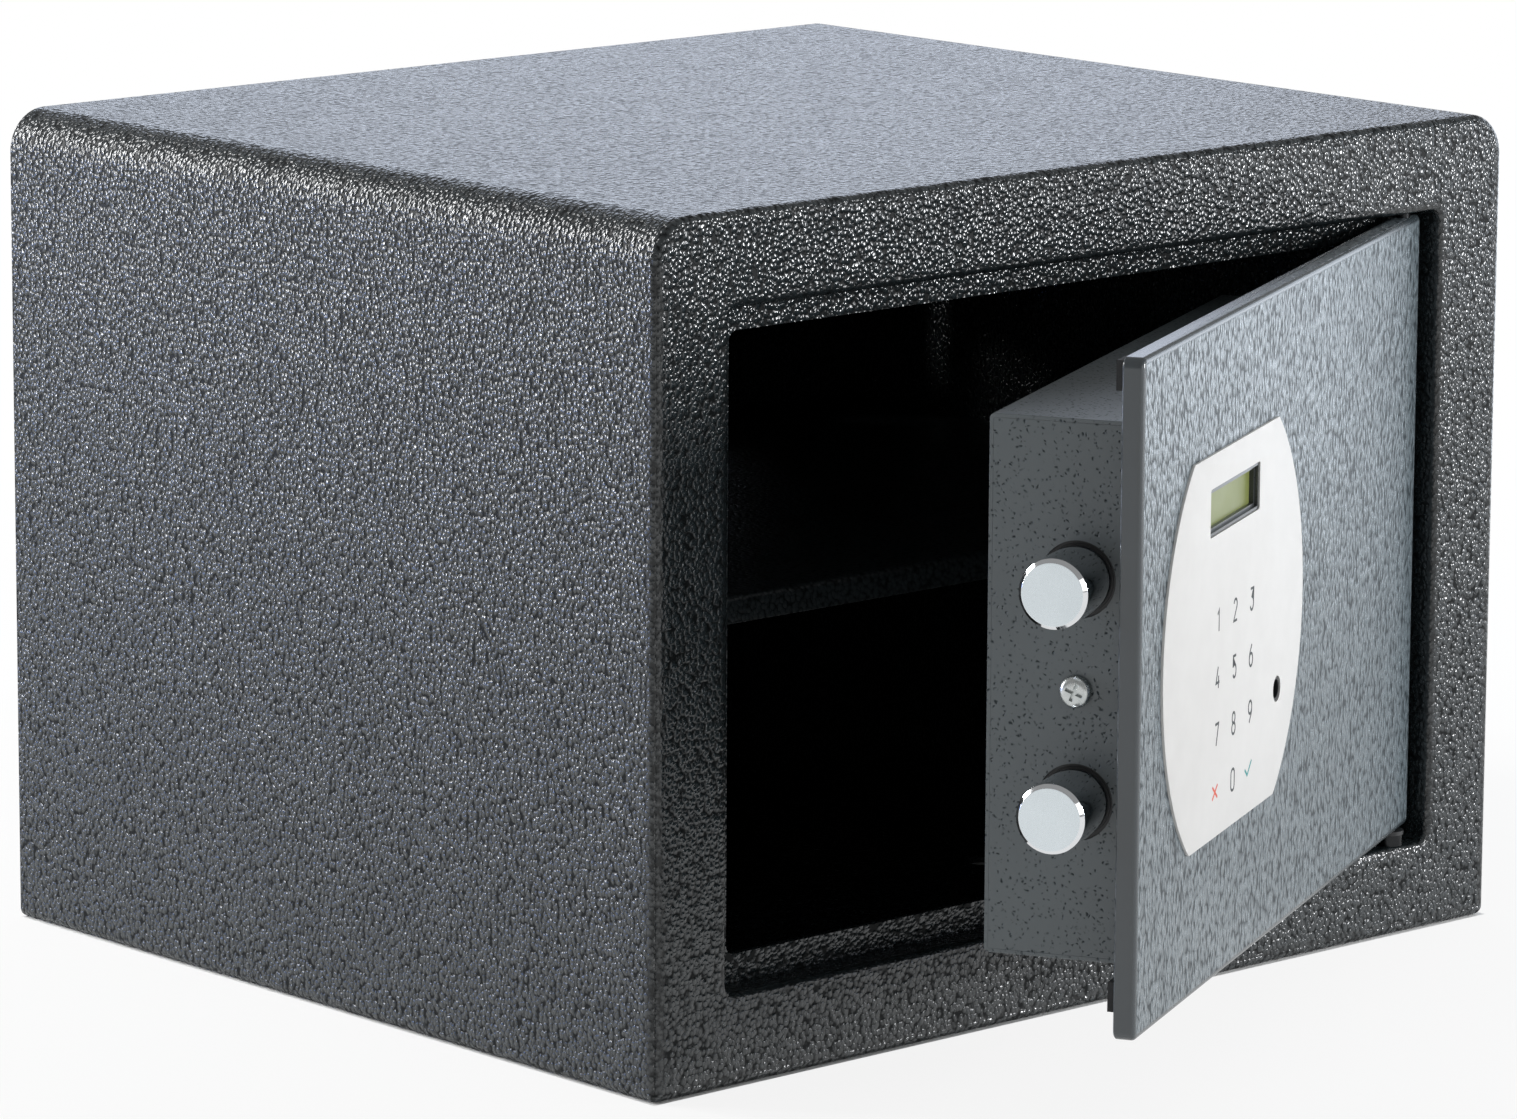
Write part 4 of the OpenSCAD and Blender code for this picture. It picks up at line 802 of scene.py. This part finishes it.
def inkMark(name, marks, ink):      # one piece, from marks of (x, z, half width, half height, strokes)
    strokes = []
    for cx, cz, halfWidth, halfHeight, lines in marks:
        for points, closed in lines:
            placed = [(cx + x * halfWidth, cz + z * halfHeight) for x, z in points]
            strokes.append(inkStroke(placed, closed, "stroke" if strokes else name, ink))
    mark = shapeWith(strokes[0], strokes[1:], "UNION") if len(strokes) > 1 else strokes[0]
    place(mark, "door", "overlay_film")


def makeInk():
    d = digits
    halfWidth, halfHeight = (d["width"] - d["stroke"]) / 2, (d["height"] - d["stroke"]) / 2
    marks = []
    for i, digit in enumerate("1234567890"):
        column, row = (i % 3, i // 3) if digit != "0" else (1, 3)
        x, z = d["firstX"] + column * d["pitchX"], d["firstZ"] - row * d["pitchZ"]
        marks.append((x, z, halfWidth, halfHeight, digitStrokes(digit)))
    inkMark("keypad_digits", marks, greyInk)
    lowest = d["firstZ"] - 3 * d["pitchZ"]
    left = d["firstX"] + d["signShift"]
    right = d["firstX"] + 2 * d["pitchX"] + d["signShift"]
    cross = [([(-1, -1), (1, 1)], False), ([(-1, 1), (1, -1)], False)]
    tick = [([(-1, 0.1), (-0.25, -0.9), (1, 0.9)], False)]
    inkMark("keypad_cancel_mark", [(left, lowest, *d["cross"], cross)], redInk)
    inkMark("keypad_confirm_mark", [(right, lowest, *d["tick"], tick)], tealInk)


makeInk()
print("keypad printing made")


# battery lid with a rim in the tray's mouth, and grooves for a finger

lidShape = {
    "corner": 2, "edge": 0.3, "grooves": 5, "grooveLength": 20, "grooveWidth": 1, "groovePitch": 2.6,
    "grooveDepth": 0.5,
    "grooveDrop": 12,               # from the lid's top to about the middle of the grooves
}


def makeLid():
    t, s = tray, lidShape
    inside, outside = case["y1"], case["y1"] + t["lid"]
    halfWidth, halfHeight = t["width"] / 2 + t["lap"], t["height"] / 2 + t["lap"]
    upright = roundedOutline(halfWidth, t["z"] - halfHeight, t["z"] + halfHeight, s["corner"], s["corner"], 6)
    lid = pushed("battery_lid", [(t["x"] + x, z) for x, z in upright], "y", inside, outside, blackMoulding)
    mouth = centred(t["x"], t["z"], t["width"] - 2 * t["rimGap"], t["height"] - 2 * t["rimGap"])
    rim = pushed("rim", mouth, "y", inside - t["rim"], inside + fit["sunk"])
    x0, x1 = t["x"] - s["grooveLength"] / 2, t["x"] + s["grooveLength"] / 2
    lowest = t["z"] + halfHeight - s["grooveDrop"] - s["grooves"] * s["groovePitch"] / 2
    grooves = []
    for i in range(s["grooves"]):
        z = lowest + i * s["groovePitch"]
        grooves.append(pushed("groove", rectangle(x0, z, x1, z + s["grooveWidth"]), "y",
                              outside - s["grooveDepth"], outside + fit["past"]))
    shapeWith(lid, [rim], "UNION")
    place(soften(shapeWith(lid, grooves), s["edge"]), "door", "black_plastic", "battery_cover")


makeLid()
print("battery lid made")


# floor, light and camera

# The camera and reflections see the floor glow nearly white, and quite white from far on. Close to the
# cabinet some of the paper shows through and keeps the shadow, and under the cabinet nothing glows.
floorLook = {"half": 9, "colour": "#f4f4f3", "nearGlow": 0.86, "near": 300, "far": 800}


def makeFloor():
    half = floorLook["half"]
    mesh = bpy.data.meshes.new("floor")
    mesh.from_pydata([(x, y, 0) for x, y in rectangle(-half, -half, half, half)], [], [(0, 1, 2, 3)])
    floor = bpy.data.objects.new("floor", mesh)
    bpy.context.scene.collection.objects.link(floor)
    material, tree, coords = newMaterial("pale studio floor")
    paper = addNode(tree, "BsdfDiffuse", {"Color": linear(floorLook["colour"])})
    glow = addNode(tree, "Emission", {"Color": (1, 1, 1, 1), "Strength": 1.0})
    away = addNode(tree, "VectorMath", {0: coords}, operation="LENGTH").outputs["Value"]
    level = addNode(tree, "MapRange", {0: away, 1: floorLook["near"], 2: floorLook["far"],
                                       3: floorLook["nearGlow"], 4: 1.0}).outputs[0]
    footprint = (cabinet["halfWidth"], cabinet["back"], 1)
    share = addNode(tree, "VectorMath", {0: coords, 1: footprint}, operation="DIVIDE").outputs[0]
    share = addNode(tree, "VectorMath", {0: share}, operation="ABSOLUTE").outputs[0]
    sides = addNode(tree, "SeparateXYZ", {0: share}).outputs
    reach = addNode(tree, "Math", {0: sides[0], 1: sides[1]}, operation="MAXIMUM").outputs[0]
    clear = addNode(tree, "Math", {0: reach, 1: 1.0}, operation="GREATER_THAN").outputs[0]
    glowing = addNode(tree, "Math", {0: level, 1: clear}, operation="MULTIPLY").outputs[0]
    ray = addNode(tree, "LightPath").outputs
    seen = addNode(tree, "Math", {0: ray["Is Camera Ray"], 1: ray["Is Glossy Ray"]},
                   operation="MAXIMUM").outputs[0]
    mix = addNode(tree, "Math", {0: glowing, 1: seen}, operation="MULTIPLY").outputs[0]
    shader = addNode(tree, "MixShader", {0: mix, 1: paper.outputs[0], 2: glow.outputs[0]})
    addNode(tree, "OutputMaterial", {"Surface": shader.outputs[0]})
    mesh.materials.append(material)


# Places and sizes are in metres. The keys and the rim are hard strip lamps, which give the coat its small
# highlights; the fill and the panels are soft, and the bluish ones cool the top and the sides.
studio = {
    "ambient": 0.35,                # what the white surroundings add all round
    "target": (0, -0.05, 0.13),
    "lamps": {
        "leftKey": {"at": (-0.98, 0.87, 0.45), "size": (0.11, 0.6), "radiance": 38, "colour": "#ffffff"},
        "leftRim": {"at": (-0.62, 0.95, 0.74), "size": (0.22, 0.6), "radiance": 20, "colour": "#ffffff"},
        "frontKey": {"at": (0.9, -1.15, 0.41), "size": (0.14, 0.46), "radiance": 60, "colour": "#ffffff"},
        "frontFill": {"at": (-0.2, -1.9, 0.6), "size": (0.8, 0.8), "radiance": 1.7, "colour": "#ffffff"},
        "rightPanel": {"at": (0.8, -0.02, 0.2), "size": (0.54, 0.38), "radiance": 2.1, "colour": "#e6f1ff"},
        "backPanel": {"at": (1.2, 1.4, 0.84), "size": (1.0, 1.0), "radiance": 1.9, "colour": "#e0ebff"},
        "leftPanel": {"at": (-1.2, 1.15, 0.11), "size": (1.0, 0.24), "radiance": 3.6, "colour": "#78a6ff"},
        "frontPanel": {"at": (1.1, -1.4, 0.36), "size": (0.7, 0.68), "radiance": 1.8, "colour": "#e0ebff"},
    },
}


def makeLight():
    world = bpy.data.worlds.new("white studio")
    bpy.context.scene.world = world
    world.use_nodes = True
    tree = world.node_tree
    tree.nodes.clear()
    seen = addNode(tree, "LightPath").outputs["Is Camera Ray"]
    strength = addNode(tree, "MapRange", {0: seen, 3: studio["ambient"], 4: 1.0}).outputs[0]
    surroundings = addNode(tree, "Background", {"Color": (1, 1, 1, 1), "Strength": strength})
    addNode(tree, "OutputWorld", {"Surface": surroundings.outputs[0]})
    target = Vector(studio["target"])
    for name, lamp in studio["lamps"].items():
        light = bpy.data.lights.new(name, "AREA")
        light.shape = "RECTANGLE"
        light.size, light.size_y = lamp["size"]
        light.energy = lamp["radiance"] * math.pi * light.size * light.size_y
        light.color = linear(lamp["colour"])[:3]
        holder = bpy.data.objects.new(name, light)
        holder.location = lamp["at"]
        holder.rotation_euler = (Vector(lamp["at"]) - target).to_track_quat("Z", "Y").to_euler()
        holder.visible_camera = False
        bpy.context.scene.collection.objects.link(holder)


def makeCamera():
    c = camera
    az, el, roll = (math.radians(c[k]) for k in ("turn", "tilt", "roll"))
    look = Vector((math.sin(az) * math.cos(el), math.cos(az) * math.cos(el), -math.sin(el)))
    level = Vector((math.cos(az), -math.sin(az), 0))
    upright = level.cross(look)
    right = level * math.cos(roll) + upright * math.sin(roll)
    up = upright * math.cos(roll) - level * math.sin(roll)
    offX, offY = (p / c["pixelsPerMm"] for p in c["aimPixel"])
    spot = (Vector(c["aim"]) - look * c["distance"] - right * offX + up * offY) * mm
    data = bpy.data.cameras.new("camera")
    data.sensor_width = c["sensor"]
    data.lens = c["pixelsPerMm"] * c["distance"] / c["imageWidth"] * c["sensor"]
    data.clip_end = c["clipEnd"]
    holder = bpy.data.objects.new("camera", data)
    holder.matrix_world = Matrix((right, up, -look)).transposed().to_4x4()
    holder.location = spot
    bpy.context.scene.collection.objects.link(holder)
    bpy.context.scene.camera = holder


makeFloor()
makeLight()
makeCamera()
bpy.context.scene.view_settings.view_transform = "Standard"
print("floor, light and camera made")
